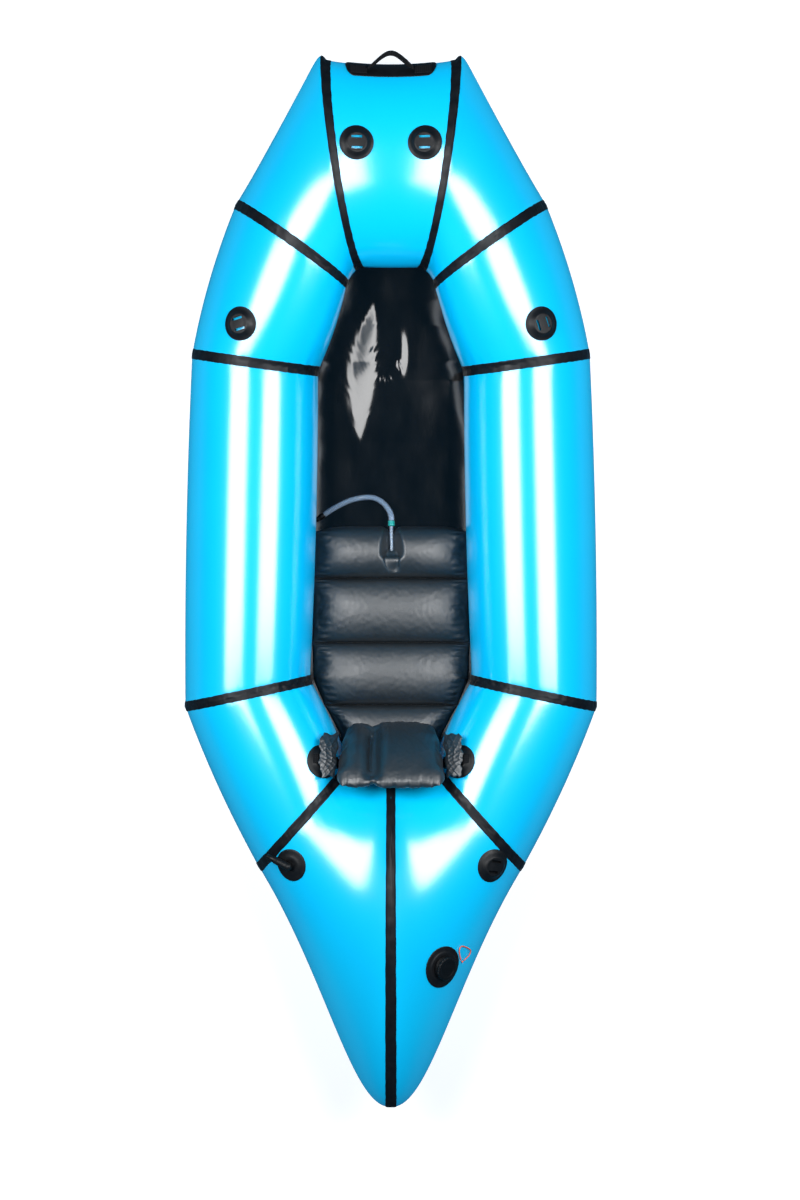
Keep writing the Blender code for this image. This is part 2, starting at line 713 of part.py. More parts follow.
def smooth_route(points, steps):
    """Points at even steps along a smooth curve through a few chosen ones."""
    dense = []
    last = len(points) - 1
    for i in range(last):
        a, b = points[max(0, i - 1)], points[i]
        c, d = points[i + 1], points[min(last, i + 2)]
        for k in range(16):
            t = k / 16
            dense.append((2 * b + (c - a) * t + (2 * a - 5 * b + 4 * c - d) * t * t
                          + (3 * b - a - 3 * c + d) * t ** 3) / 2)
    dense.append(points[-1].copy())
    lengths = [0.0]
    for before, after in zip(dense, dense[1:]):
        lengths.append(lengths[-1] + (after - before).length)
    route, k = [], 0
    for i in range(steps + 1):
        goal = lengths[-1] * i / steps
        while k < len(dense) - 2 and lengths[k + 1] < goal:
            k += 1
        share = (goal - lengths[k]) / max(1e-9, lengths[k + 1] - lengths[k])
        route.append(dense[k].lerp(dense[k + 1], share))
    return route


def cord_object(name, route, diameter, finish, resolution=2):
    curve = bpy.data.curves.new(name, "CURVE")
    curve.dimensions = "3D"
    curve.bevel_depth = diameter / 2
    curve.bevel_resolution = resolution
    curve.use_fill_caps = True
    spline = curve.splines.new("POLY")
    spline.points.add(len(route) - 1)
    origin = route[0]
    for point, place in zip(spline.points, route):
        point.co = (*(place - origin), 1.0)
        point.radius = 1.0
    curve.materials.append(finish)
    made = bpy.data.objects.new(name, curve)
    made.location = origin
    bpy.context.scene.collection.objects.link(made)
    return made


def make_lanyard(skin, spot, finish):
    """The cap's thin cord: a loop lying on the hull beside the flange, closed by a knot."""
    diameter = 0.0020
    points = []
    for x, y in LANYARD_ROUTE:
        hit, normal, _, _ = skin.ray_cast(Vector((x, y, 2.0)), Vector((0, 0, -1)))
        over = (hit - spot.origin).length < VALVE_RADIUS + 0.003
        lift = diameter / 2 + SKIN_GAP + (0.0020 if over else 0.0006)
        points.append(hit + (normal if normal.z > 0 else -normal) * lift)
    cord_object("valve_lanyard", smooth_route(points, 26), diameter, finish)
    middle = (points[0] + points[-1]) / 2 - Vector((0, 0.0026, -0.0002))
    knot = bmesh.new()
    bmesh.ops.create_icosphere(knot, subdivisions=2, radius=0.0024, matrix=Matrix.Translation(middle))
    add_object("valve_lanyard_knot", knot, finish, middle)


def make_topoff_valve(skin, finish, rubber):
    """The mouth valve: welded flange, soft stem that folds flat and a twist mouthpiece."""
    end = Spot(skin, TOPOFF_END, (0, 1))
    centre = Spot(skin, TOPOFF_AT, (0, 1))
    heading = (end.origin - centre.origin).to_2d()
    spot = Spot(skin, TOPOFF_AT, heading)
    draped_ring("topoff_flange", spot, ((TOPOFF_RADIUS, 0.0012), (0.020, 0.0026), (0.0122, 0.0034)), rubber, 20)
    hinge = spot.origin + spot.normal * 0.0128
    tip = end.origin + end.normal * 0.0150
    along = (tip - hinge).normalized()
    side = along.cross(spot.normal).normalized()
    up = side.cross(along)
    frame = Matrix.Translation(hinge) @ Matrix((side, up, along)).transposed().to_4x4()
    ball = 0.0084
    stem = [(0.0, -ball), (ball * 0.6, -ball * 0.8), (ball * 0.95, -ball * 0.3), (ball, 0.0)]
    stem += [(STEM_RADIUS, 0.0045), (STEM_RADIUS, 0.0340), (STEM_BORE, 0.0340), (STEM_BORE, 0.0), (0.0, 0.0)]
    add_object("topoff_stem", turned(stem, 14, frame), rubber, hinge)
    mouth = (
        (0.0020, 0.0343), (0.0070, 0.0343), (0.0070, 0.0440), (0.0056, 0.0445), (0.0056, 0.0530),
        (0.0050, 0.0540), (0.0020, 0.0540),
    )
    add_object("topoff_mouthpiece", turned(mouth, 14, frame), finish, hinge)
    return hinge, along, side


def pillow(top, bottom):
    """Close two grids of points, one above the other, into one soft solid."""
    shape = bmesh.new()
    sheets = [[[shape.verts.new(place) for place in row] for row in grid] for grid in (top, bottom)]
    upper, lower = sheets
    rows, columns = len(upper), len(upper[0])
    for j in range(rows - 1):
        for i in range(columns - 1):
            shape.faces.new((upper[j][i], upper[j][i + 1], upper[j + 1][i + 1], upper[j + 1][i]))
            shape.faces.new((lower[j + 1][i], lower[j + 1][i + 1], lower[j][i + 1], lower[j][i]))
    edge = [(0, i) for i in range(columns)] + [(j, columns - 1) for j in range(1, rows)]
    edge += [(rows - 1, i) for i in reversed(range(columns - 1))]
    edge += [(j, 0) for j in reversed(range(1, rows - 1))]
    for (j, i), (m, n) in zip(edge, edge[1:] + edge[:1]):
        shape.faces.new((upper[m][n], upper[j][i], lower[j][i], lower[m][n]))
    return shape


def seat_half_width(y):
    """The seat follows the cockpit, which closes in behind the side seam."""
    turn, back = SIDE_SEAM[0][1], SEAT_WELDS[-1]
    if y >= turn:
        return SEAT_HALF_WIDTH
    return SEAT_HALF_WIDTH + (SEAT_REAR_HALF_WIDTH - SEAT_HALF_WIDTH) * (turn - y) / (turn - back)


def make_seat(floor_line, finish):
    """An air cushion of four chambers across, welded between, with a pinch at its front edge."""
    shares = (0.0, 0.10, 0.30, 0.50, 0.70, 0.90)
    across = (-1.0, -0.95, -0.82, -0.62, -0.38, -0.14, -0.045, 0.0, 0.045, 0.14, 0.38, 0.62, 0.82, 0.95, 1.0)
    flange = 0.0012
    top, bottom = [], []
    for chamber, (front, back) in enumerate(zip(SEAT_WELDS, SEAT_WELDS[1:])):
        ends = shares + ((1.0,) if chamber == len(SEAT_WELDS) - 2 else ())
        for share in ends:
            y = front + (back - front) * share
            swell = math.sqrt(max(0.0, 4 * share * (1 - share)))
            half = seat_half_width(y) - 0.006 * swell
            upper, lower = [], []
            for u in across:
                x = SEAT_CREASE * (1 - abs(u)) + half * u
                drawn = math.sqrt(max(0.0, 1 - abs(u) ** 3.2))
                near = math.exp(-((x - SEAT_CREASE) / 0.013) ** 2)
                pinch = near * min(1.0, max(0.0, y / 0.028))
                full = swell * drawn * (1 - 0.93 * pinch)
                back_set = 0.020 * pinch if chamber == 0 and share < 0.2 else 0.0
                corner = 0.018 * abs(u) ** 6 * max(0.0, 1 - share * 3) if chamber == 0 else 0.0
                place = y - back_set - corner
                upper.append(Vector((x, place, SEAT_MIDDLE + flange + SEAT_CROWN * full)))
                level = max(floor_level(floor_line, place) + 0.0006, SEAT_MIDDLE - flange - 0.0475 * full)
                lower.append(Vector((x, place, level)))
            top.append(upper)
            bottom.append(lower)
    return add_object("seat", pillow(top, bottom), finish, (0, -0.14, SEAT_MIDDLE))


def make_seat_hose(clear, fitting, black):
    """Stem welded to the seat, push-on connector, free hose and the mouth valve on its end."""
    stem = smooth_route([Vector(p) for p in STEM_ROUTE], 8)
    cord_object("seat_stem", stem, STEM_TUBE, clear)
    route = smooth_route([Vector(p) for p in HOSE_ROUTE], 18)
    cord_object("seat_hose", route, HOSE_DIAMETER, clear)

    def fitting_frame(place, ahead):
        turn = ahead.to_track_quat("Z", "Y").to_matrix().to_4x4()
        return Matrix.Translation(place) @ turn

    ahead = (route[0] - stem[-1]).normalized()
    frame = fitting_frame(stem[-1], ahead)
    length = (route[0] - stem[-1]).length
    ring = (
        (0.0, SEAM_GAP), (0.0060, SEAM_GAP), (0.0072, 0.0012), (0.0072, length - 0.0012),
        (0.0066, length - SLANT_GAP), (0.0, length - SLANT_GAP),
    )
    add_object("seat_hose_connector", turned(ring, 16, frame), fitting, frame.translation)
    ahead = (route[-1] - route[-2]).normalized()
    frame = fitting_frame(route[-1], ahead)
    body = (
        (0.0, SEAM_GAP), (0.0062, SEAM_GAP), (0.0066, 0.0010), (0.0066, 0.0120), (0.0052, 0.0124),
        (0.0052, 0.0150), (0.0, 0.0150),
    )
    add_object("seat_valve_body", turned(body, 14, frame), black, frame.translation)
    nozzle = ((0.0, 0.0153), (0.0060, 0.0153), (0.0060, 0.0205), (0.0045, 0.0240), (0.0, 0.0240))
    add_object("seat_valve_nozzle", turned(nozzle, 14, frame), black, frame.translation)
    return route, ahead


STEM_ROUTE = (
    (0.0012, 0.0500, 0.0592), (0.0013, 0.0620, 0.0590), (0.0011, 0.0760, 0.0584), (0.0008, 0.0900, 0.0570),
    (0.0005, 0.1040, 0.0552), (0.0005, 0.1145, 0.0542),
)
HOSE_ROUTE = (
    (0.0005, 0.1270, 0.0530), (0.0003, 0.1370, 0.0520), (-0.0058, 0.1520, 0.0450), (-0.0160, 0.1645, 0.0350),
    (-0.0280, 0.1733, 0.0262), (-0.0406, 0.1781, 0.0180), (-0.0567, 0.1790, 0.0112), (-0.0720, 0.1770, 0.0084),
    (-0.0907, 0.1722, 0.0082), (-0.1094, 0.1640, 0.0082), (-0.1282, 0.1540, 0.0082), (-0.1480, 0.1408, 0.0082),
)


def make_backrest(skin, cushion_finish, web_finish, plastic):
    """A pillow leaning on the stern tube; each side has a wing, and a strap through its patch."""
    low = Vector((0, *BACKREST_LOW))
    high = Vector((0, *BACKREST_HIGH))
    rise = high - low
    front = Vector((1, 0, 0)).cross(rise).normalized() * -1
    across = (-1.0, -0.94, -0.80, -0.56, -0.42, -0.333, -0.25, -0.10, 0.15, 0.40, 0.64, 0.84, 0.95, 1.0)
    upward = (0.0, 0.06, 0.22, 0.42, 0.62, 0.82, 0.95, 1.0)
    face, back = [], []
    for v in upward:
        swell = math.sqrt(max(0.0, 4 * v * (1 - v)))
        face_row, back_row = [], []
        for u in across:
            width = BACKREST_HALF_WIDTH * (0.80 + 0.20 * v ** 0.7)
            x = width * u
            drawn = math.sqrt(max(0.0, 1 - abs(u) ** 4))
            pinch = math.exp(-((x - BACKREST_CREASE) / 0.012) ** 2)
            inset = 0.010 * pinch + 0.004 * (1 - drawn)
            place = low + rise * (v * (1 - 2 * inset / rise.length) + inset / rise.length) + Vector((x, 0, 0))
            full = swell * drawn * (1 - 0.55 * pinch)
            face_row.append(place + front * (0.0012 + 0.044 * full))
            back_row.append(place - front * (0.0012 + 0.026 * full))
        face.append(face_row)
        back.append(back_row)
    axis = (low + high) / 2 - front * 0.004
    add_object("backrest", pillow(face, back), cushion_finish, axis)

    for side, sign in (("right", 1), ("left", -1)):
        spot = Spot(skin, (sign * BACKREST_PATCH[0], BACKREST_PATCH[1]), (sign, 0))
        outer, inner = [], []
        for y in (-0.3440, -0.3650, -0.3860, -0.4080, -0.4290):
            row, under = [], []
            for x in (0.1300, 0.1385, 0.1480, 0.1565, 0.1640):
                hit, _, _, _ = skin.ray_cast(Vector((sign * x, y, 2.0)), Vector((0, 0, -1)))
                row.append(hit + spot.normal * 0.0215)
                under.append(hit + spot.normal * 0.0200)
            outer.append(row)
            inner.append(under)
        add_object(f"backrest_wing_{side}", pillow(outer, inner), cushion_finish, spot.origin)
        stations = []
        for y, height in (
            (-0.036, 0.0132), (-0.0190, 0.0128), (-0.0150, 0.0120), (-0.0118, 0.0082), (-0.0082, 0.0040),
            (0.0082, 0.0040), (0.0118, 0.0082), (0.0150, 0.0120), (0.0190, 0.0128), (0.032, 0.0105), (0.046, 0.0068),
        ):
            stations.append((spot.drape(0, y, height + SKIN_GAP), spot.across * 0.010, spot.normal))
        shape = ribbon(stations, STRAP)
        add_object(f"backrest_strap_{side}", shape, web_finish, spot.origin)
        middle = (stations[0][0] + stations[1][0]) / 2
        along = (stations[1][0] - stations[0][0]).normalized()
        over = spot.across.cross(along)
        loops = []
        for across, up in ((-1, -1), (1, -1), (1, 1), (-1, 1)):
            hole = spot.across * across * 0.0104 + over * up * (STRAP / 2 + 0.0004)
            rim = spot.across * across * 0.0132 + over * up * (STRAP / 2 + 0.0026)
            step = along * 0.0045
            loops.append([middle + rim - step, middle + rim + step, middle + hole + step, middle + hole - step])
        add_object(f"backrest_keeper_{side}", loops_shape(loops), plastic, middle)


def bore_hull(name, spot, radius):
    """Cut the hole in a hull panel that a valve is welded over."""
    tool = turned(((0.0, -0.02), (radius, -0.02), (radius, 0.02), (0.0, 0.02)), 20, spot.frame())
    cutter = add_object(f"{name}_cutter", tool, bpy.data.objects[name].data.materials[0])
    cutter.hide_render = True
    cutter.display_type = "WIRE"
    step = bpy.data.objects[name].modifiers.new("valve hole", "BOOLEAN")
    step.operation = "DIFFERENCE"
    step.solver = "EXACT"
    step.object = cutter


def main():
    for old in list(bpy.data.objects):
        bpy.data.objects.remove(old)
    skin_finish = material("hull_fabric", (0.0, 0.56, 1.0), 0.38)
    tape_finish = material("seam_tape", (0.012, 0.014, 0.018), 0.42)
    floor_finish = material("floor_fabric", (0.010, 0.012, 0.016), 0.28)
    cushion_finish = material("cushion_fabric", (0.030, 0.040, 0.052), 0.40)
    rubber = material("moulded_rubber", (0.012, 0.012, 0.014), 0.55)
    plastic = material("valve_plastic", (0.010, 0.010, 0.011), 0.35)
    webbing = material("webbing", (0.010, 0.011, 0.012), 0.80)
    hose = material("hose_vinyl", (0.30, 0.42, 0.55), 0.15)
    teal = material("connector_plastic", (0.0, 0.36, 0.33), 0.35)
    orange = material("lanyard_cord", (0.75, 0.16, 0.01), 0.75)

    sections = make_sections()
    panels = make_panels(sections)
    skin = fine_skin(panels)
    make_hull(panels, skin_finish, tape_finish)
    floor_line = make_floor(panels, floor_finish, tape_finish)
    make_bow_handle(panels["bow_panel"], rubber, webbing)
    make_lash_patches(skin, rubber)
    valve = make_main_valve(skin, plastic, rubber)
    make_lanyard(skin, valve, orange)
    make_topoff_valve(skin, plastic, rubber)
    bore_hull("stern_half_right", valve, 0.0235)
    bore_hull("stern_half_left", Spot(skin, TOPOFF_AT, (0, 1)), 0.0110)
    make_seat(floor_line, cushion_finish)
    make_seat_hose(hose, teal, plastic)
    make_backrest(skin, cushion_finish, webbing, plastic)


main()
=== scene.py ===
"""Looks of the one-person inflatable raft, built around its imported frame."""

import math

import bmesh
import bpy
import numpy as np
from mathutils import Matrix, Vector
from mathutils.bvhtree import BVHTree


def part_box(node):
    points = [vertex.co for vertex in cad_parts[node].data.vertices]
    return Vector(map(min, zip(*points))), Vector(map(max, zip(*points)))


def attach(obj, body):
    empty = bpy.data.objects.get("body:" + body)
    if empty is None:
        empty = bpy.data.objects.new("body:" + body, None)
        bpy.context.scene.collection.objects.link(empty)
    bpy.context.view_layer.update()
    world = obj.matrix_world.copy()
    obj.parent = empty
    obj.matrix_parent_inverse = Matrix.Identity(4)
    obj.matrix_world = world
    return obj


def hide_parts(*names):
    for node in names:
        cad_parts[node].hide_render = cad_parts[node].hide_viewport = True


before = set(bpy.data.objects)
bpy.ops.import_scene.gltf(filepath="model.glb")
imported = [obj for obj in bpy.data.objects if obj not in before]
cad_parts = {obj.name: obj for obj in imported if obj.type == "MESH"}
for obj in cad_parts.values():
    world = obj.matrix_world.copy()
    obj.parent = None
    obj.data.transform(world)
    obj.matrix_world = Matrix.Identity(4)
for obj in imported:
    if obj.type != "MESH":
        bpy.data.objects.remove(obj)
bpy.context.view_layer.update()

# The hull's seams, the same values as in the CAD source
BASE = 0.0033
RADIUS = 0.1375
ROUND = (RADIUS, RADIUS, BASE + RADIUS, BASE + RADIUS)
# Each seam: its inner and outer plan points; its half heights above and below, and the levels of its inner
# and outer end; how far it leans sideways per metre of rise; how its outer end tapers
SEAMS = {
    "bow": (((0.065, 0.678), (0.1405, 1.107)), (0.140, 0.156, 0.166, 0.306), (0.111, -0.311), 0.67),
    "quarter": (((0.0992, 0.640), (0.333, 0.807)), (0.137, 0.158, 0.170, 0.210), (-0.228, -0.163), 0.553),
    "shoulder": (((0.159, 0.451), (0.433, 0.489)), ROUND, (0, -0.063), 0.5),
    "side": (((0.1766, -0.222), (0.448, -0.280)), ROUND, (0, 0), 0.5),
    "stern": (((0.0894, -0.407), (0.287, -0.628)), (0.134, 0.1405, 0.133, 0.166), (-0.080, 0.0895), 0.5),
    "tail": (((0.0, -0.407), (0.0, -1.144)), (0.178, 0.149, 0.168, 0.210), (0, -0.03), 0.8),
}
TAIL_LEAVE, TAIL_ARRIVE = (1.53, 1.40, 1.52), (0.88, -0.05, 0.53)
CORNER_LENGTH = 0.030
TAPE_WIDTH = 0.019
SKIN_THICKNESS = 0.0010
SKIN_GAP = 0.0010
PI = math.pi

# Where fittings sit on the hull, seen from above; the backrest's patches also lie mirrored on the left
BACKREST_PATCH_PLACE = (0.148, -0.396)
STERN_PATCH_PLACE = (0.219, -0.619)
VALVE_PLACE = (0.111, -0.835)
TOPOFF_PLACE = (-0.2144, -0.6175)
TOPOFF_TIP = (-0.2570, -0.5940)

# The studio: two softboxes tilted over the raft, a dim blue room and white paper under it
PHOTO_SCALE = 0.00218
CAMERA_PLACE = (0.0196, -0.0480, 9.0)
CAMERA_ABOVE_HULL = 8.86
SOFTBOX_PLACE = (1.53, 0.38, 3.06)
SOFTBOX_TILT = math.radians(46)
SOFTBOX_SIZE = (1.62, 1.86)
SOFTBOX_POWER = 97
ROOM_COLOUR = (0.12, 0.55, 1.0, 1)
ROOM_STRENGTH = 0.17
PAPER_GLOW = 0.60
PAPER_GLOW_IN_GLOSS = 0.03

# Most of a cushion's form is its start shape's: of the cloth's evened movement, only this share is kept
EVEN_SHARE = 0.3
AIR_PRESSURE = 4.0
# The furthest that a point of each cushion may move in the cloth step, in metres
SEAT_MOVE, BACKREST_MOVE = 0.045, 0.040


# Geometry

class Section:
    """A seam of the hull as a closed curve."""

    def __init__(self, name, side):
        (inner, outer), rise, lean, taper = SEAMS[name]
        self.inner, self.outer = np.array(inner, float), np.array(outer, float)
        self.above, self.below, self.low, self.high = rise
        self.lean, self.taper = np.array(lean, float), taper
        self.mirror = side == "left"
        self.phase = 0.0
        turns = np.radians(180 + 0.5 * np.arange(360))
        self.phase = math.radians(270) - turns[self.at(turns)[:, 2].argmin()]

    def swell(self, along):
        widest = 0.5 / (0.5 + self.taper)
        peak = widest ** 0.5 * (1 - widest) ** self.taper
        along = np.clip(along, 0, 1)
        return along ** 0.5 * (1 - along) ** self.taper / peak

    def at(self, angle, wall=0.0):
        turn = np.asarray(angle, float) - self.phase
        along = (1 + np.cos(turn)) / 2
        step = (self.outer - self.inner) / np.linalg.norm(self.outer - self.inner) * wall
        start, end = self.inner + step, self.outer - step * (3 if self.taper > 0.5 else 1)
        plan = start + (end - start) * along[..., None]
        half = np.where(np.sin(turn) > 0, self.above, self.below)
        rise = np.copysign(self.swell(along) * (half - wall), np.sin(turn))
        plan = plan + self.lean * rise[..., None]
        level = self.low + (self.high - self.low) * along
        x = -plan[..., 0] if self.mirror else plan[..., 0]
        return np.stack([x, plan[..., 1], level + rise], axis=-1)

    def centre(self):
        middle = (self.inner + self.outer) / 2
        return np.array([-middle[0] if self.mirror else middle[0], middle[1], (self.low + self.high) / 2])


def unit(vectors):
    return vectors / np.maximum(np.linalg.norm(vectors, axis=-1, keepdims=True), 1e-12)


class Panel:
    """One length of hull tube between two seams."""

    def __init__(self, start, end, bulge=(0.0, 0.0), tail=False, hollow=0.0, dip=0.0, corner=0.0):
        self.start, self.end = start, end
        self.bulge, self.upward = bulge
        self.tail, self.hollow, self.dip, self.corner = tail, hollow, dip, corner

    def ends(self, angle, wall=0.0):
        first, last = self.start.at(angle, wall), self.end.at(angle, wall)
        run = last - first
        if not self.tail:
            return first, last, run, run
        return first, last, run * np.array(TAIL_LEAVE), run * np.array(TAIL_ARRIVE)

    def point(self, angle, t, wall=0.0):
        angle, t = np.broadcast_arrays(np.asarray(angle, float), np.asarray(t, float))
        first, last, leave, arrive = self.ends(angle, wall)
        s = t[..., None]
        place = (
            first * (2 * s ** 3 - 3 * s ** 2 + 1) + leave * (s ** 3 - 2 * s ** 2 + s)
            + last * (3 * s ** 2 - 2 * s ** 3) + arrive * (s ** 3 - s ** 2)
        )
        spread = 4 * t * (1 - t)
        out = unit((first - self.start.centre()) * (1 - s) + (last - self.end.centre()) * s)
        free = np.clip((np.sin(angle) + 0.9) / 0.9, 0, 1)
        outboard = np.clip(np.cos(angle - self.start.phase), 0, None) ** 2
        if self.corner:
            early = self.corner * (1 - np.exp(-t / CORNER_LENGTH)) * np.clip(1 - t, 0, 1) ** 1.2
            swollen = self.bulge * spread * (1 - outboard) + early * outboard
        else:
            swollen = self.bulge * spread
        length = np.linalg.norm(last - first, axis=-1)
        push = out * (swollen * length * free)[..., None]
        push[..., 2] *= self.upward
        place = place + push
        place[..., 1] -= self.hollow * spread * outboard
        place[..., 2] -= self.dip * spread * free
        return place

    def share(self, angle, distance, at_end):
        _, _, leave, arrive = self.ends(np.asarray(angle, float))
        if at_end:
            return 1 - distance / np.linalg.norm(arrive, axis=-1)
        return distance / np.linalg.norm(leave, axis=-1)


def make_panels():
    cut = {side: {name: Section(name, side) for name in SEAMS} for side in ("right", "left")}
    panels = {"bow_panel": Panel(cut["left"]["bow"], cut["right"]["bow"], hollow=0.0095, dip=0.0185)}
    for side, s in cut.items():
        panels[f"bow_quarter_{side}"] = Panel(s["bow"], s["quarter"], (0.027, 0.0), corner=0.088)
        panels[f"bow_shoulder_{side}"] = Panel(s["quarter"], s["shoulder"], (0.027, 0.59))
        panels[f"side_tube_{side}"] = Panel(s["shoulder"], s["side"], (0.007, 1.0))
        panels[f"stern_quarter_{side}"] = Panel(s["side"], s["stern"], (0.020, 0.45))
        panels[f"stern_half_{side}"] = Panel(s["stern"], s["tail"], tail=True)
    return panels


def ring_noise(angle, seed, waves):
    """A smooth random function of an angle, from -1 to 1."""
    rng = np.random.default_rng(seed)
    total = np.zeros_like(angle)
    for wave in waves:
        total = total + rng.normal() * np.cos(wave * angle) + rng.normal() * np.sin(wave * angle)
    return total / max(1.0, math.sqrt(len(waves)) * 1.4)


def grid_mesh(name, grid, closed_rows=False, closed_columns=True, caps=False, uv_scale=None):
    """A quad mesh through a grid of points (rows, columns, 3), facing out when it is closed."""
    rows, columns = grid.shape[:2]
    index = np.arange(rows * columns).reshape(rows, columns)
    nexts = np.roll(index, -1, axis=1) if closed_columns else index[:, 1:]
    here = index if closed_columns else index[:, :-1]
    if closed_rows:
        low, high = here, np.roll(here, -1, axis=0)
        low_next, high_next = nexts, np.roll(nexts, -1, axis=0)
    else:
        low, high = here[:-1], here[1:]
        low_next, high_next = nexts[:-1], nexts[1:]
    faces = np.stack([low, low_next, high_next, high], axis=-1).reshape(-1, 4).tolist()
    if caps:
        faces.append(index[0][::-1].tolist())
        faces.append(index[-1].tolist())
    mesh = bpy.data.meshes.new(name)
    mesh.from_pydata(grid.reshape(-1, 3).tolist(), [], faces)
    if uv_scale is not None:
        layer = mesh.uv_layers.new(name="cloth")
        row_of = np.repeat(np.arange(rows), columns)
        column_of = np.tile(np.arange(columns), rows)
        along, around = uv_scale
        loops = np.empty(len(mesh.loops), np.int64)
        mesh.loops.foreach_get("vertex_index", loops)
        u, v = around[column_of[loops]], along[row_of[loops]]
        layer.data.foreach_set("uv", np.stack([u, v], axis=-1).ravel().astype(np.float32))
    mesh.update()
    return finish_mesh(name, mesh)


def finish_mesh(name, mesh):
    """Turn a mesh's faces outwards, shade it smooth and put it in the scene."""
    shape = bmesh.new()
    shape.from_mesh(mesh)
    if shape.calc_volume(signed=True) < 0:
        bmesh.ops.reverse_faces(shape, faces=shape.faces)
        shape.to_mesh(mesh)
    shape.free()
    mesh.shade_smooth()
    made = bpy.data.objects.new(name, mesh)
    bpy.context.scene.collection.objects.link(made)
    return made


def turned(name, profile, sides=64, place=Matrix.Identity(4)):
    """Turn a profile of (radius, height) round the Z axis of a frame, as a closed solid."""
    shape = bmesh.new()
    loops = []
    for i in range(sides):
        a = 2 * PI * i / sides
        ring = [place @ Vector((r * math.cos(a), r * math.sin(a), z)) for r, z in profile]
        loops.append([shape.verts.new(point) for point in ring])
    for i in range(sides):
        low, high = loops[i], loops[(i + 1) % sides]
        for k in range(len(profile)):
            n = (k + 1) % len(profile)
            if profile[k][0] < 1e-9 and profile[n][0] < 1e-9:
                continue
            shape.faces.new((low[k], low[n], high[n], high[k]))
    bmesh.ops.remove_doubles(shape, verts=shape.verts, dist=1e-7)
    loose = [edge for edge in shape.edges if not edge.link_faces]
    bmesh.ops.delete(shape, geom=loose, context="EDGES")
    loose = [vert for vert in shape.verts if not vert.link_edges]
    bmesh.ops.delete(shape, geom=loose, context="VERTS")
    bmesh.ops.recalc_face_normals(shape, faces=shape.faces)
    mesh = bpy.data.meshes.new(name)
    shape.to_mesh(mesh)
    shape.free()
    made = finish_mesh(name, mesh)
    made.data.set_sharp_from_angle(angle=math.radians(35))
    return made


def dress(piece, body, slot, material, *nodes):
    """Give a piece its body, its material and the CAD nodes that it stands for."""
    piece.data.materials.clear()
    piece.data.materials.append(material)
    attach(piece, body)
    if nodes:
        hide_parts(*nodes)
    return piece


# Materials

class Finish:
    """A Principled material with a small node graph round it."""

    def __init__(self, name, colour, roughness, **constants):
        self.material = bpy.data.materials.new(name)
        self.material.use_nodes = True
        self.tree = self.material.node_tree
        self.shader = self.tree.nodes["Principled BSDF"]
        self.shader.inputs["Base Color"].default_value = (*colour, 1)
        self.shader.inputs["Roughness"].default_value = roughness
        for key, value in constants.items():
            self.shader.inputs[key.replace("_", " ")].default_value = value
        self.colour = colour
        self.space = self.node("ShaderNodeTexCoord").outputs["Object"]
        self.height = None

    def node(self, kind, **settings):
        made = self.tree.nodes.new(kind)
        for key, value in settings.items():
            setattr(made, key, value)
        return made

    def link(self, source, target):
        self.tree.links.new(source, target)

    def noise(self, scale, detail=3.0, rough=0.55, stretch=None, space=None):
        source = space or self.space
        if stretch:
            mapping = self.node("ShaderNodeMapping")
            mapping.inputs["Scale"].default_value = stretch
            self.link(source, mapping.inputs["Vector"])
            source = mapping.outputs["Vector"]
        made = self.node("ShaderNodeTexNoise")
        made.inputs["Scale"].default_value = scale
        made.inputs["Detail"].default_value = detail
        made.inputs["Roughness"].default_value = rough
        self.link(source, made.inputs["Vector"])
        return made.outputs["Fac"]

    def ramp(self, value, low, high, to_low, to_high):
        made = self.node("ShaderNodeMapRange")
        for key, number in zip(("From Min", "From Max", "To Min", "To Max"), (low, high, to_low, to_high)):
            made.inputs[key].default_value = number
        self.link(value, made.inputs["Value"])
        return made.outputs["Result"]

    def math(self, operation, a, b):
        made = self.node("ShaderNodeMath", operation=operation)
        for socket, value in zip(made.inputs, (a, b)):
            if isinstance(value, (int, float)):
                socket.default_value = value
            else:
                self.link(value, socket)
        return made.outputs["Value"]

    def blend_colour(self, value, other, low=0.35, high=0.65, top=1.0):
        """Mix another colour into the base by a texture."""
        mix = self.node("ShaderNodeMix", data_type="RGBA")
        self.link(self.ramp(value, low, high, 0.0, top), mix.inputs["Factor"])
        base = self.shader.inputs["Base Color"]
        if base.links:
            self.link(base.links[0].from_socket, mix.inputs["A"])
        else:
            mix.inputs["A"].default_value = (*self.colour, 1)
        mix.inputs["B"].default_value = (*other, 1)
        self.link(mix.outputs["Result"], base)

    def vary_roughness(self, value, low, high):
        self.link(self.ramp(value, 0.3, 0.7, low, high), self.shader.inputs["Roughness"])

    def bump(self, value, distance, strength=1.0):
        made = self.node("ShaderNodeBump")
        made.inputs["Strength"].default_value = strength
        made.inputs["Distance"].default_value = distance
        self.link(value, made.inputs["Height"])
        if self.height is not None:
            self.link(self.height, made.inputs["Normal"])
        self.height = made.outputs["Normal"]
        self.link(self.height, self.shader.inputs["Normal"])

    def weave(self, pitch, space=None):
        """Threads over and under, at a pitch in metres, from the cloth's own UV or from object space."""
        source = space or self.node("ShaderNodeUVMap", uv_map="cloth").outputs["UV"]
        waves = []
        for direction in ("X", "Y"):
            made = self.node("ShaderNodeTexWave", bands_direction=direction)
            made.inputs["Scale"].default_value = 1.0 / pitch / 20 * 6.2832 / 2
            self.link(source, made.inputs["Vector"])
            waves.append(made.outputs["Fac"])
        return self.math("MULTIPLY", waves[0], waves[1])


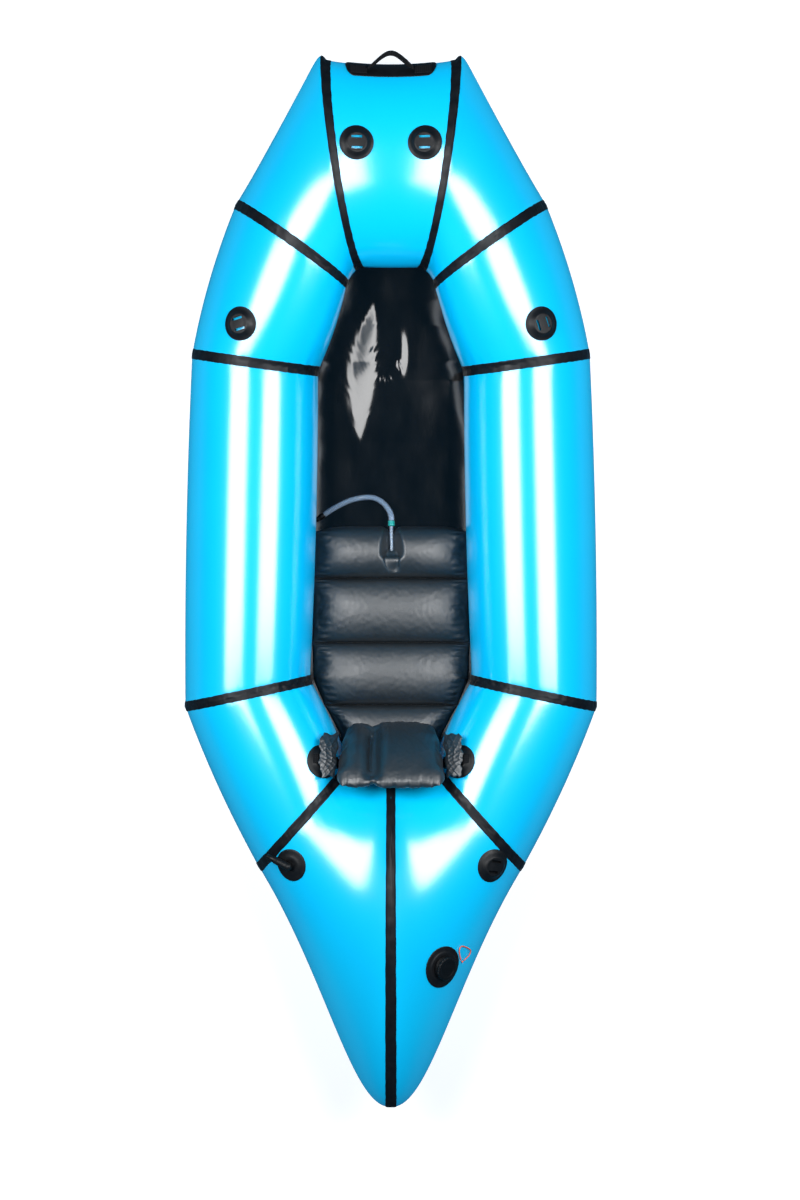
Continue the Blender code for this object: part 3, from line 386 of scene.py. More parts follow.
def make_materials():
    made = {}
    hull = Finish(
        "raft_hull_fabric", (0.0, 0.575, 1.0), 0.30,
        Coat_Weight=1.0, Coat_IOR=2.0, Coat_Roughness=0.19, Specular_IOR_Level=0.0,
    )
    hull.blend_colour(hull.noise(5.0, 4.0), (0.0, 0.615, 1.0), 0.3, 0.7, 0.6)
    hull.blend_colour(hull.noise(260.0, 2.0), (0.0, 0.52, 0.95), 0.45, 0.8, 0.2)
    hull.vary_roughness(hull.noise(14.0, 5.0), 0.24, 0.31)
    hull.bump(hull.weave(0.0009), 0.00005, 0.35)
    made["hull"] = hull.material

    tape = Finish("raft_seam_tape", (0.0035, 0.0045, 0.0065), 0.40, Specular_IOR_Level=0.22)
    tape.blend_colour(tape.noise(60.0, 4.0), (0.009, 0.011, 0.014), 0.4, 0.75, 0.7)
    tape.vary_roughness(tape.noise(45.0, 4.0), 0.33, 0.52)
    tape.bump(tape.noise(38.0, 3.0), 0.0010, 0.35)
    tape.bump(tape.weave(0.0011), 0.00007, 0.5)
    made["tape"] = tape.material

    floor = Finish("raft_floor_fabric", (0.0010, 0.0016, 0.0024), 0.14, Specular_IOR_Level=0.62)
    floor.blend_colour(floor.noise(18.0, 5.0), (0.0030, 0.0042, 0.0055), 0.4, 0.75, 0.7)
    floor.vary_roughness(floor.noise(22.0, 6.0, stretch=(1, 0.35, 1)), 0.105, 0.165)
    floor.bump(floor.noise(60.0, 5.0, 0.6), 0.0009, 0.06)
    made["floor"] = floor.material

    cushion = Finish("raft_cushion_fabric", (0.0022, 0.0065, 0.0100), 0.47, IOR=1.95)
    cushion.blend_colour(cushion.noise(12.0, 4.0), (0.0034, 0.0085, 0.0125), 0.35, 0.7, 0.6)
    cushion.vary_roughness(cushion.noise(30.0, 5.0), 0.44, 0.50)
    cushion.bump(cushion.noise(42.0, 3.0), 0.0005, 0.15)
    cushion.bump(cushion.noise(1500.0, 1.0), 0.00006, 0.4)
    made["cushion"] = cushion.material

    rubber = Finish("raft_moulded_rubber", (0.0035, 0.0038, 0.0046), 0.44, Specular_IOR_Level=0.32)
    rubber.blend_colour(rubber.noise(90.0, 4.0), (0.0080, 0.0085, 0.0100), 0.4, 0.8, 0.6)
    rubber.vary_roughness(rubber.noise(120.0, 3.0), 0.38, 0.55)
    rubber.bump(rubber.noise(1300.0, 2.0), 0.00012, 0.6)
    made["rubber"] = rubber.material

    plastic = Finish("raft_valve_plastic", (0.0030, 0.0032, 0.0036), 0.30, Specular_IOR_Level=0.30)
    plastic.blend_colour(plastic.noise(140.0, 3.0), (0.0070, 0.0072, 0.0080), 0.4, 0.8, 0.6)
    plastic.vary_roughness(plastic.noise(160.0, 3.0), 0.28, 0.44)
    plastic.bump(plastic.noise(1800.0, 2.0), 0.00005, 0.5)
    made["plastic"] = plastic.material

    webbing = Finish(
        "raft_webbing", (0.0035, 0.0040, 0.0050), 0.78, Specular_IOR_Level=0.14, Sheen_Weight=0.02,
    )
    webbing.blend_colour(webbing.weave(0.0022), (0.013, 0.014, 0.017), 0.1, 0.9, 0.8)
    webbing.bump(webbing.weave(0.0022), 0.0005, 0.9)
    made["webbing"] = webbing.material

    hose = Finish("raft_hose_vinyl", (0.52, 0.66, 0.82), 0.16, IOR=1.45, Transmission_Weight=0.72)
    hose.vary_roughness(hose.noise(40.0, 3.0), 0.10, 0.26)
    hose.bump(hose.noise(90.0, 2.0), 0.0004, 0.3)
    made["hose"] = hose.material

    teal = Finish("raft_teal_plastic", (0.0, 0.30, 0.27), 0.34)
    teal.blend_colour(teal.noise(200.0, 3.0), (0.02, 0.40, 0.35), 0.4, 0.7, 0.6)
    teal.bump(teal.noise(900.0, 2.0), 0.00008, 0.4)
    made["teal"] = teal.material

    cord = Finish("raft_lanyard_cord", (0.90, 0.10, 0.010), 0.70, Sheen_Weight=0.1)
    cord.blend_colour(cord.noise(1400.0, 2.0), (0.95, 0.30, 0.16), 0.5, 0.7, 0.7)
    cord.bump(cord.noise(1100.0, 2.0), 0.0004, 0.8)
    made["cord"] = cord.material
    return made


# Hull

def spaced(count, edge):
    """Shares from 0 to 1, closer together near both ends."""
    s = np.linspace(0, 1, count)
    return s + edge * np.sin(2 * PI * s) / (-2 * PI)


def puckers(panel, angle, t, seed):
    """How far the fabric is drawn in (negative) beside its seams, in metres."""
    length = np.linalg.norm(panel.end.at(angle) - panel.start.at(angle), axis=-1)
    inboard = np.clip(-np.cos(angle - panel.start.phase), 0, 1)
    total = np.zeros(np.broadcast(angle, t).shape)
    for k, distance in enumerate((t * length, (1 - t) * length)):
        wave = ring_noise(angle, seed + 7 * k, range(18, 40, 3))
        wave = wave + 0.5 * ring_noise(angle, seed + 3 + k, range(5, 16, 3))
        depth = 0.00035 + 0.0011 * inboard ** 2
        total = total + depth * wave * np.exp(-distance / 0.016)
        total = total - 0.0006 * np.exp(-(distance / 0.011) ** 2)
    return total


def skin_flat(panel, angle, t):
    """The bare skin and its outward normal at angles and shares."""
    angle, t = np.broadcast_arrays(np.asarray(angle, float), np.asarray(t, float))
    step = 1e-3
    place = panel.point(angle, t)
    around = panel.point(angle + step, t) - panel.point(angle - step, t)
    along = panel.point(angle, np.clip(t + step, 0, 1)) - panel.point(angle, np.clip(t - step, 0, 1))
    facing = unit(np.cross(around, along))
    s = t[..., None]
    outward = place - (panel.start.centre() * (1 - s) + panel.end.centre() * s)
    return place, facing * np.where((facing * outward).sum(-1, keepdims=True) < 0, -1.0, 1.0)


def skin_of(panel, angle, t, seed):
    """The dressed outer skin at angles and shares, with its puckers."""
    place, facing = skin_flat(panel, angle, t)
    lift = puckers(panel, angle, t, seed)
    return place + facing * lift[..., None], facing


def make_hull(panels, materials):
    around = 144
    angle = np.arange(around) * 2 * PI / around
    for seed, (name, panel) in enumerate(panels.items()):
        length = float(np.linalg.norm(panel.end.centre() - panel.start.centre()))
        count = max(40, int(length / 0.007))
        rows = spaced(count, 0.75)[:, None]
        low, high = panel.share(angle, 0.0003, False), panel.share(angle, 0.0003, True)
        t = low + (high - low) * rows
        outer, facing = skin_of(panel, angle[None, :], t, 40 + seed)
        inner = outer[::-1] - facing[::-1] * SKIN_THICKNESS
        grid = np.concatenate([outer, inner])
        size = float(np.linalg.norm(outer[count // 2, 0] - outer[count // 2, 1]))
        v = np.concatenate([rows[:, 0], rows[::-1, 0]]) * length
        u = angle / (2 * PI) * around * size
        piece = grid_mesh(f"skin_{name}", grid, closed_rows=True, uv_scale=(v, u))
        dress(piece, "hull", "hull_fabric", materials["hull"], name)


SEAM_LIST = (
    ("bow", "bow_panel", "bow_quarter"), ("quarter", "bow_quarter", "bow_shoulder"),
    ("shoulder", "bow_shoulder", "side_tube"), ("side", "side_tube", "stern_quarter"),
    ("stern", "stern_quarter", "stern_half"),
)


# How many times its CAD width each seam's tape shows, set against the photo
TAPE_SPREAD = {"bow": 1.34, "quarter": 1.22, "shoulder": 1.18, "side": 1.18, "stern": 1.2}


def tape_piece(name, first, first_at_end, second, second_at_end, seeds, material, node, width, folds=0.0):
    """A welded tape over a seam: thin, rounded at its edges, with the seam's ridge and small folds."""
    around = 300
    angle = np.arange(around) * 2 * PI / around
    offsets = np.array([
        -1.0, -0.985, -0.93, -0.75, -0.5, -0.25, -0.08, 0.08, 0.25, 0.5, 0.75, 0.93, 0.985, 1.0,
    ])
    rng_edge = ring_noise(angle, seeds[0] + 900, range(9, 60, 6)) * 0.00035
    rows, normals = [], []
    for share in offsets:
        half = width / 2 + (rng_edge if share < 0 else -rng_edge)
        distance = np.maximum(abs(share) * half, 0.0004)
        panel, at_end, seed = second, second_at_end, seeds[1]
        if share < 0:
            panel, at_end, seed = first, first_at_end, seeds[0]
        t = panel.share(angle, distance, at_end)
        place, facing = skin_of(panel, angle, t, seed)
        rows.append(place)
        normals.append(facing)
    rows, normals = np.array(rows), np.array(normals)
    smooth = normals.copy()
    for _ in range(3):
        smooth[1:-1] = unit(smooth[:-2] + smooth[1:-1] * 2 + smooth[2:])
    edge = np.sqrt(np.clip(1 - np.abs(offsets) ** 14, 0, 1))
    fold = ring_noise(angle, seeds[0] + 77, range(30, 110, 7))
    fold = np.clip(np.abs(fold) - 0.75, 0, None) * 0.0009
    ridge = 0.0004 * np.exp(-(offsets / 0.16) ** 2)
    height = 0.00015 + 0.0010 * edge[:, None] + ridge[:, None] + fold[None, :] * (1 - offsets[:, None] ** 4)
    if folds:
        y = rows[len(offsets) // 2, :, 1]
        cross = np.clip(np.sin(y * 2 * PI / 0.0105 + 3 * np.sin(y * 60)), 0, 1) ** 3
        place = np.exp(-((y + 0.675) / 0.050) ** 2) + 0.35 * np.exp(-((y + 0.86) / 0.16) ** 2)
        height = height + (folds * cross * place)[None, :] * (1 - offsets[:, None] ** 6)
    upper = rows + smooth * height[..., None]
    lower = rows + smooth * 0.00008
    grid = np.concatenate([upper, lower[::-1]])
    arc = np.cumsum(np.linalg.norm(np.roll(rows[0], -1, axis=0) - rows[0], axis=-1))
    across = np.concatenate([offsets, offsets[::-1]]) * width / 2
    piece = grid_mesh(name, grid, closed_rows=True, uv_scale=(across, arc))
    dress(piece, "hull", "seam_tape", material, node)


def make_tapes(panels, materials):
    order = list(panels)
    for side in ("right", "left"):
        for seam, before, after in SEAM_LIST:
            first = before if before == "bow_panel" else f"{before}_{side}"
            second = f"{after}_{side}"
            at_end = True if before != "bow_panel" else side == "right"
            seeds = (40 + order.index(first), 40 + order.index(second))
            tape_piece(
                f"tape_{seam}_{side}", panels[first], at_end, panels[second], False,
                seeds, materials["tape"], f"{seam}_seam_tape_{side}", TAPE_WIDTH * TAPE_SPREAD[seam],
            )
    tape_piece(
        "tape_tail", panels["stern_half_right"], True, panels["stern_half_left"], True,
        (40 + order.index("stern_half_right"), 40 + order.index("stern_half_left")),
        materials["tape"], "tail_seam_tape", TAPE_WIDTH * 1.28, 0.0011,
    )


# Cushions

SEAT_WELDS = (0.1155, 0.0, -0.1417, -0.2790, -0.4000)
SEAT_MIDDLE = 0.047
STEM_ROUTE = (
    (0.0012, 0.0500, 0.0592), (0.0013, 0.0620, 0.0590), (0.0011, 0.0760, 0.0584), (0.0008, 0.0900, 0.0570),
    (0.0005, 0.1040, 0.0552), (0.0005, 0.1145, 0.0542),
)


def arc_points(half, crown, power, count):
    """Points evenly spaced along a swollen half profile, from the middle out: across and height."""
    u = np.sin(np.linspace(0, PI / 2, 400))
    x, z = half * u, crown * np.sqrt(np.clip(1 - u ** power, 0, 1))
    run = np.concatenate([[0], np.cumsum(np.hypot(np.diff(x), np.diff(z)))])
    goals = np.linspace(0, run[-1], count)
    return np.interp(goals, run, x), np.interp(goals, run, z), run[-1]


def pad_faces(rows, columns, shared):
    """Indices of a pad's two sheets, joined where they share points, and its faces."""
    upper = np.arange(rows * columns).reshape(rows, columns)
    lower = upper.copy()
    lower[~shared] = rows * columns + np.arange(int((~shared).sum()))
    faces = []
    for index, flip in ((upper, False), (lower, True)):
        corners = (index[:-1, :-1], index[:-1, 1:], index[1:, 1:], index[1:, :-1])
        quads = np.stack(corners, axis=-1).reshape(-1, 4)
        faces += (quads[:, ::-1] if flip else quads).tolist()
    return lower, faces


def taut(upper, lower, shared, keep):
    """Even out how far two sheets moved and keep EVEN_SHARE of it, and the share keep of the small folds."""
    even_upper, even_lower = upper.copy(), lower.copy()
    for _ in range(70):
        for sheet in (even_upper, even_lower):
            wide = np.pad(sheet, ((1, 1), (1, 1), (0, 0)), mode="edge")
            sheet[:] = (wide[:-2, 1:-1] + wide[2:, 1:-1] + wide[1:-1, :-2] + wide[1:-1, 2:]) / 8 + sheet / 2
        middle = (even_upper + even_lower) / 2
        even_upper[shared] = middle[shared]
        even_lower[shared] = middle[shared]
    keep = keep[..., None]
    pairs = ((even_upper, upper), (even_lower, lower))
    return tuple(even * EVEN_SHARE + (sheet - even) * keep for even, sheet in pairs)


def inflate(upper, lower, flat, shared, pressure, cap, keep):
    """Blow two sheets up from the inside; flat gives the cut of the cloth, which is larger than the pad."""
    rows, columns = shared.shape
    lower_index, faces = pad_faces(rows, columns, shared)
    joined = np.where(shared[..., None], (upper + lower) / 2, upper)
    start = np.concatenate([joined.reshape(-1, 3), lower[~shared]])
    cut = np.zeros_like(start)
    cut[:rows * columns, :2] = flat.reshape(-1, 2)
    cut[rows * columns:, :2] = flat[~shared]
    mesh = bpy.data.meshes.new("pad")
    mesh.from_pydata(start.tolist(), [], faces)
    pad = bpy.data.objects.new("pad", mesh)
    bpy.context.scene.collection.objects.link(pad)
    pad.shape_key_add(name="start")
    key = pad.shape_key_add(name="cut")
    key.data.foreach_set("co", cut.ravel().astype(np.float32))
    air = pad.modifiers.new("air", "CLOTH")
    air.settings.quality = 6
    air.settings.mass = 0.2
    air.settings.tension_stiffness = 70
    air.settings.compression_stiffness = 70
    air.settings.shear_stiffness = 30
    air.settings.bending_stiffness = 0.03
    air.settings.use_pressure = True
    air.settings.uniform_pressure_force = pressure
    air.settings.rest_shape_key = key
    air.settings.effector_weights.gravity = 0
    air.collision_settings.use_collision = False
    air.point_cache.frame_start, air.point_cache.frame_end = 1, 20
    scene = bpy.context.scene
    for frame_number in range(1, 21):
        scene.frame_set(frame_number)
    blown = pad.evaluated_get(bpy.context.evaluated_depsgraph_get()).to_mesh()
    points = np.empty(len(blown.vertices) * 3)
    blown.vertices.foreach_get("co", points)
    points = points.reshape(-1, 3)
    scene.frame_set(1)
    bpy.data.objects.remove(pad)
    moved = points - start
    length = np.linalg.norm(moved, axis=1, keepdims=True)
    moved = moved * np.minimum(1, cap / np.maximum(length, 1e-9))
    first = start[:rows * columns].reshape(rows, columns, 3)
    top, bottom = taut(moved[:rows * columns].reshape(rows, columns, 3), moved[lower_index], shared, keep)
    return first + top, start[lower_index] + bottom


def pad_object(name, top, bottom, shared, gap=0.0004):
    """A closed pad from its two sheets, kept a little apart along their welds."""
    rows, columns = shared.shape
    rim = np.zeros_like(shared)
    rim[0], rim[-1], rim[:, 0], rim[:, -1] = True, True, True, True
    across = np.gradient(top, axis=1)
    along = np.gradient(top, axis=0)
    out = unit(np.cross(across, along))
    middle = (top + bottom) / 2
    apart = shared & ~rim
    top = np.where(apart[..., None], middle + out * gap, top)
    bottom = np.where(apart[..., None], middle - out * gap, bottom)
    _, faces = pad_faces(rows, columns, rim)
    points = np.concatenate([np.where(rim[..., None], middle, top).reshape(-1, 3), bottom[~rim]])
    mesh = bpy.data.meshes.new(name)
    mesh.from_pydata(points.tolist(), [], faces)
    return finish_mesh(name, mesh)


def hold_in(piece, node, spare):
    """Keep a soft piece's points in its CAD solid, or at most a little outside it."""
    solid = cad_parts[node].data
    tree = BVHTree.FromPolygons([v.co for v in solid.vertices], [tuple(p.vertices) for p in solid.polygons])
    for vert in piece.data.vertices:
        near, normal, _, distance = tree.find_nearest(vert.co)
        if distance > 1e-6 and (vert.co - near).dot(normal) > 0:
            vert.co = near + (vert.co - near) * (spare * math.tanh(distance / spare) / distance)


def keep_clear(piece, line, radius):
    """Press a soft piece down under a tube that lies on it."""
    line = np.array(line)
    for vert in piece.data.vertices:
        beyond = np.where(line[:, 1] > vert.co.y, 2.6, 1.0)
        away = np.hypot(line[:, 0] - vert.co.x, (line[:, 1] - vert.co.y) * beyond)
        nearest = int(away.argmin())
        if away[nearest] < radius * 9:
            drop = radius * math.sqrt(max(0.0, 1 - min(1.0, away[nearest] / radius) ** 2))
            rest = line[nearest, 2] - drop - 0.0006
            ease = max(0.0, away[nearest] - radius) * 1.35
            vert.co.z = min(vert.co.z, rest + ease) if vert.co.z > SEAT_MIDDLE else vert.co.z


def refine(piece, levels=1):
    """Subdivide a soft piece and apply the steps."""
    step = piece.modifiers.new("smooth", "SUBSURF")
    step.levels = step.render_levels = levels
    step.boundary_smooth = "PRESERVE_CORNERS"
    evaluated = piece.evaluated_get(bpy.context.evaluated_depsgraph_get())
    mesh = bpy.data.meshes.new_from_object(evaluated)
    old = piece.data
    piece.modifiers.clear()
    piece.data = mesh
    bpy.data.meshes.remove(old)
    mesh.shade_smooth()


def dense(route, spacing=0.001):
    """Points along a smooth line through a few chosen ones."""
    knots = np.array(route, float)
    padded = np.concatenate([knots[:1] * 2 - knots[1:2], knots, knots[-1:] * 2 - knots[-2:-1]])
    points = []
    for i in range(len(knots) - 1):
        a, b, c, d = padded[i:i + 4]
        t = np.linspace(0, 1, 24, endpoint=False)[:, None]
        square, cube = 2 * a - 5 * b + 4 * c - d, 3 * b - a - 3 * c + d
        points.append((2 * b + (c - a) * t + square * t ** 2 + cube * t ** 3) / 2)
    points = np.concatenate([*points, knots[-1:]])
    run = np.concatenate([[0], np.cumsum(np.linalg.norm(np.diff(points, axis=0), axis=1))])
    goals = np.linspace(0, run[-1], max(3, int(run[-1] / spacing) + 1))
    return np.stack([np.interp(goals, run, points[:, k]) for k in range(3)], axis=1)


def seat_half_width(y):
    share = np.clip((-0.222 - y) / (-0.222 + 0.400), 0, 1)
    return 0.177 + (0.092 - 0.177) * share


def make_seat(material):
    """The seat: four chambers across, welded between, with a short weld down its front chamber."""
    pitch = 0.0045
    half_columns = int(0.19 / pitch)
    columns = 2 * half_columns + 1
    upper, lower, flat, welds, chambers = [], [], [], [0], []
    y_cut = 0.0
    for chamber, (front, back) in enumerate(zip(SEAT_WELDS, SEAT_WELDS[1:])):
        half_depth = (front - back) / 2
        cut = PI * math.sqrt((half_depth ** 2 + 0.044 ** 2) / 2)
        count = int(cut / pitch)
        for k in range(0 if chamber == 0 else 1, count + 1):
            s = k / count
            y = front + (back - front) * (1 - math.cos(PI * s)) / 2
            swell = math.sin(PI * s)
            half = float(seat_half_width(y))
            sheets = []
            for crown in (0.038, -0.041):
                narrow = half - 0.006 * swell
                across, height, run = arc_points(narrow, abs(crown) * swell, 3.2, half_columns + 1)
                across = np.concatenate([-across[:0:-1], across])
                height = np.concatenate([height[:0:-1], height]) * np.sign(crown)
                sheets.append((across, height, run))
            for (across, height, run), rows in zip(sheets, (upper, lower)):
                near = np.exp(-(across / 0.012) ** 2) * np.clip((y - 0.045) / 0.04, 0, 1)
                height = height * (1 - 0.85 * near)
                set_back = 0.013 * np.exp(-(across / 0.010) ** 2) * (np.clip((y - 0.075) / 0.04, 0, 1) ** 2)
                corner = 0.018 * np.abs(across / half) ** 6 * max(0.0, 1 - s * 3) * (chamber == 0)
                rows.append(np.stack([across, y - set_back - corner, SEAT_MIDDLE + height], axis=1))
            cut_half = half + 0.5 * max(0.0, (sheets[0][2] + sheets[1][2]) / 2 - half)
            span = np.linspace(-1, 1, columns) * cut_half
            flat.append(np.stack([span, np.full(columns, y_cut - cut * s)], axis=1))
            chambers.append(chamber)
        y_cut -= cut
        welds.append(len(upper) - 1)
    upper, lower, flat = np.array(upper), np.array(lower), np.array(flat)
    rows = len(upper)
    shared = np.zeros((rows, columns), bool)
    shared[0], shared[-1], shared[:, 0], shared[:, -1] = True, True, True, True
    for row in welds[1:-1]:
        shared[row] = np.abs(upper[row, :, 0]) < 0.158
    middle = columns // 2
    front = upper[:, middle, 1] > 0.062
    shared[front, middle] = True
    rng = np.random.default_rng(11)
    upper[..., 2] += rng.normal(0, 0.0002, (rows, columns))
    lower[..., 2] += rng.normal(0, 0.0002, (rows, columns))
    ends = np.clip((np.abs(upper[..., 0]) / np.abs(upper[:, -1:, 0]) - 0.76) / 0.18, 0, 1)
    upper, lower = inflate(upper, lower, flat, shared, AIR_PRESSURE, SEAT_MOVE, 0.50 * ends ** 2)
    pleat = np.sin(upper[..., 1] * 760 + 2.5 * np.sin(upper[..., 1] * 170)) * ends * (1 - ends ** 4)
    upper[..., 2] += 0.0030 * pleat * (upper[..., 2] > SEAT_MIDDLE + 0.004)
    marks = [upper[row, :, 1].mean() if row else upper[0, columns // 4, 1] for row in welds]
    goals = [SEAT_WELDS[0] - 0.0005, *SEAT_WELDS[1:]]
    for sheet in (upper, lower):
        sheet[..., 1] = np.interp(-sheet[..., 1], [-m for m in marks], goals)
    for row, chamber in enumerate(chambers):
        front, back = SEAT_WELDS[chamber], SEAT_WELDS[chamber + 1]
        if row not in welds:
            for sheet in (upper, lower):
                limit = front - 0.0004 if chamber else 1.0
                sheet[row, :, 1] = np.clip(sheet[row, :, 1], back + 0.0004, limit)
    low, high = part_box("seat")
    bottom = low.z + 0.0008
    for sheet in (upper, lower):
        above, below = sheet[..., 2] > SEAT_MIDDLE, sheet[..., 2] < SEAT_MIDDLE
        top_room = (high.z - SEAT_MIDDLE) / max(1e-6, np.percentile(upper[..., 2], 99.7) - SEAT_MIDDLE)
        sheet[..., 2] = np.where(above, SEAT_MIDDLE + (sheet[..., 2] - SEAT_MIDDLE) * top_room, sheet[..., 2])
        sheet[..., 2] = np.where(below, np.maximum(sheet[..., 2], bottom), sheet[..., 2])
    piece = pad_object("air_seat", upper, lower, shared)
    hold_in(piece, "seat", 0.0055)
    keep_clear(piece, dense(STEM_ROUTE), 0.0038)
    refine(piece)
    dress(piece, "hull", "cushion_fabric", material, "seat")
    return piece


BACKREST_LOW, BACKREST_HIGH = (-0.318, 0.168), (-0.447, 0.328)


def make_backrest(material):
    """The backrest: one chamber with a short upright weld left of its middle."""
    low, high = np.array((0, *BACKREST_LOW)), np.array((0, *BACKREST_HIGH))
    rise = high - low
    length = float(np.linalg.norm(rise))
    rise = rise / length
    front = -np.cross((1.0, 0, 0), rise)
    pitch = 0.0036
    half_columns = int(0.122 / pitch)
    columns = 2 * half_columns + 1
    cut = PI * math.sqrt(((length / 2) ** 2 + 0.035 ** 2) / 2)
    count = int(cut / pitch)
    upper, lower, flat = [], [], []
    for k in range(count + 1):
        s = k / count
        v = (1 - math.cos(PI * s)) / 2
        half = 0.120 * (0.80 + 0.20 * v ** 0.7) - 0.013 * abs(2 * v - 1) ** 7 + 0.0015 * math.sin(v * 23 + 1)
        for crown, rows in ((0.040, upper), (-0.023, lower)):
            swell = math.sin(PI * s)
            across, height, _ = arc_points(half - 0.003 * swell, abs(crown) * swell, 4.0, half_columns + 1)
            across = np.concatenate([-across[:0:-1], across])
            height = np.concatenate([height[:0:-1], height]) * np.sign(crown)
            valley = np.exp(-((across + 0.040) / 0.020) ** 2)
            height = height * (1 - 0.75 * valley * np.clip(1.6 * swell, 0, 1))
            inset = 0.010 * np.exp(-((across + 0.040) / 0.012) ** 2) * (1 - 2 * v)
            ragged = np.sin(across * 190 + 1) + 0.7 * np.sin(across * 420 + 5 * v)
            ragged = ragged + 0.5 * np.sin(across * 700)
            drawn = 0.0016 * ragged + 0.004 * np.abs(across / half) ** 5
            inset += drawn * (1 - 2 * v) * abs(2 * v - 1) ** 3
            place = low + rise * (v * length + inset)[:, None]
            rows.append(place + front * height[:, None] + np.array((1.0, 0, 0)) * across[:, None])
        span = np.linspace(-1, 1, columns) * half * 1.02
        flat.append(np.stack([span, np.full(columns, cut * s)], axis=1))
    upper, lower, flat = np.array(upper), np.array(lower), np.array(flat)
    rows = len(upper)
    shared = np.zeros((rows, columns), bool)
    shared[0], shared[-1], shared[:, 0], shared[:, -1] = True, True, True, True
    weld = int(np.abs(flat[rows // 2, :, 0] + 0.040).argmin())
    shared[int(rows * 0.30):int(rows * 0.72), weld] = True
    rng = np.random.default_rng(12)
    upper += front * rng.normal(0, 0.0002, (rows, columns, 1))
    lower += front * rng.normal(0, 0.0002, (rows, columns, 1))
    u = np.abs(np.linspace(-1, 1, columns))[None, :]
    v = np.abs(np.linspace(-1, 1, rows))[:, None]
    ends = np.clip((np.maximum(u, v) - 0.72) / 0.2, 0, 1)
    upper, lower = inflate(upper, lower, flat, shared, AIR_PRESSURE, BACKREST_MOVE, 0.10 + 0.60 * ends)
    for sheet, room in ((upper, 0.043), (lower, 0.026)):
        height = (sheet - low) @ front
        share = room / np.percentile(np.abs(height), 99.5)
        sheet += front * (height * (min(1.0, share) - 1))[..., None]
    piece = pad_object("air_backrest", upper, lower, shared)
    hold_in(piece, "backrest", 0.0025)
    refine(piece)
    dress(piece, "backrest_pillow", "cushion_fabric", material, "backrest")
    return piece


# Places on the hull

def skin_tree(panels):
    """The hull's outer surface, to lay pieces on."""
    angle = np.arange(112) * 2 * PI / 112
    t = np.linspace(0, 1, 25)
    points, faces = [], []
    for panel in panels.values():
        base = len(points)
        points += panel.point(angle[None, :], t[:, None]).reshape(-1, 3).tolist()
        index = base + np.arange(25 * 112).reshape(25, 112)
        nexts = np.roll(index, -1, axis=1)
        faces += np.stack([index[:-1], nexts[:-1], nexts[1:], index[1:]], axis=-1).reshape(-1, 4).tolist()
    return BVHTree.FromPolygons(points, faces)


class Spot:
    """A place on top of the hull, with X across, Y ahead and Z out of the skin."""

    def __init__(self, skin, at, heading):
        self.skin = skin
        self.origin, normal, _, _ = skin.ray_cast(Vector((at[0], at[1], 2.0)), Vector((0, 0, -1)))
        self.normal = normal if normal.z > 0 else -normal
        ahead = Vector((heading[0], heading[1], 0))
        self.ahead = (ahead - self.normal * ahead.dot(self.normal)).normalized()
        self.across = self.ahead.cross(self.normal)

    def frame(self, height=0.0):
        turn = Matrix((self.across, self.ahead, self.normal)).transposed().to_4x4()
        return Matrix.Translation(self.origin + self.normal * height) @ turn

    def drape(self, x, y, height):
        start = self.origin + self.across * x + self.ahead * y + self.normal * 0.2
        hit, _, _, _ = self.skin.ray_cast(start, -self.normal)
        return hit + self.normal * height


def boolean_cut(piece, boxes):
    """Take rounded boxes of (centre, size, corner) out of a piece."""
    cutters = []
    for centre, size, corner in boxes:
        shape = bmesh.new()
        box = Matrix.Translation(centre) @ Matrix.Diagonal((*size, 1.0))
        bmesh.ops.create_cube(shape, size=1.0, matrix=box)
        upright = [edge for edge in shape.edges if abs(edge.verts[0].co.z - edge.verts[1].co.z) > 1e-6]
        if corner:
            bmesh.ops.bevel(shape, geom=upright, offset=corner, segments=4, affect="EDGES", profile=0.5)
        mesh = bpy.data.meshes.new("cutter")
        shape.to_mesh(mesh)
        shape.free()
        cutter = bpy.data.objects.new("cutter", mesh)
        bpy.context.scene.collection.objects.link(cutter)
        step = piece.modifiers.new("cut", "BOOLEAN")
        step.operation = "DIFFERENCE"
        step.solver = "EXACT"
        step.object = cutter
        cutters.append(cutter)
    mesh = bpy.data.meshes.new_from_object(piece.evaluated_get(bpy.context.evaluated_depsgraph_get()))
    piece.modifiers.clear()
    piece.data = mesh
    for cutter in cutters:
        bpy.data.objects.remove(cutter)


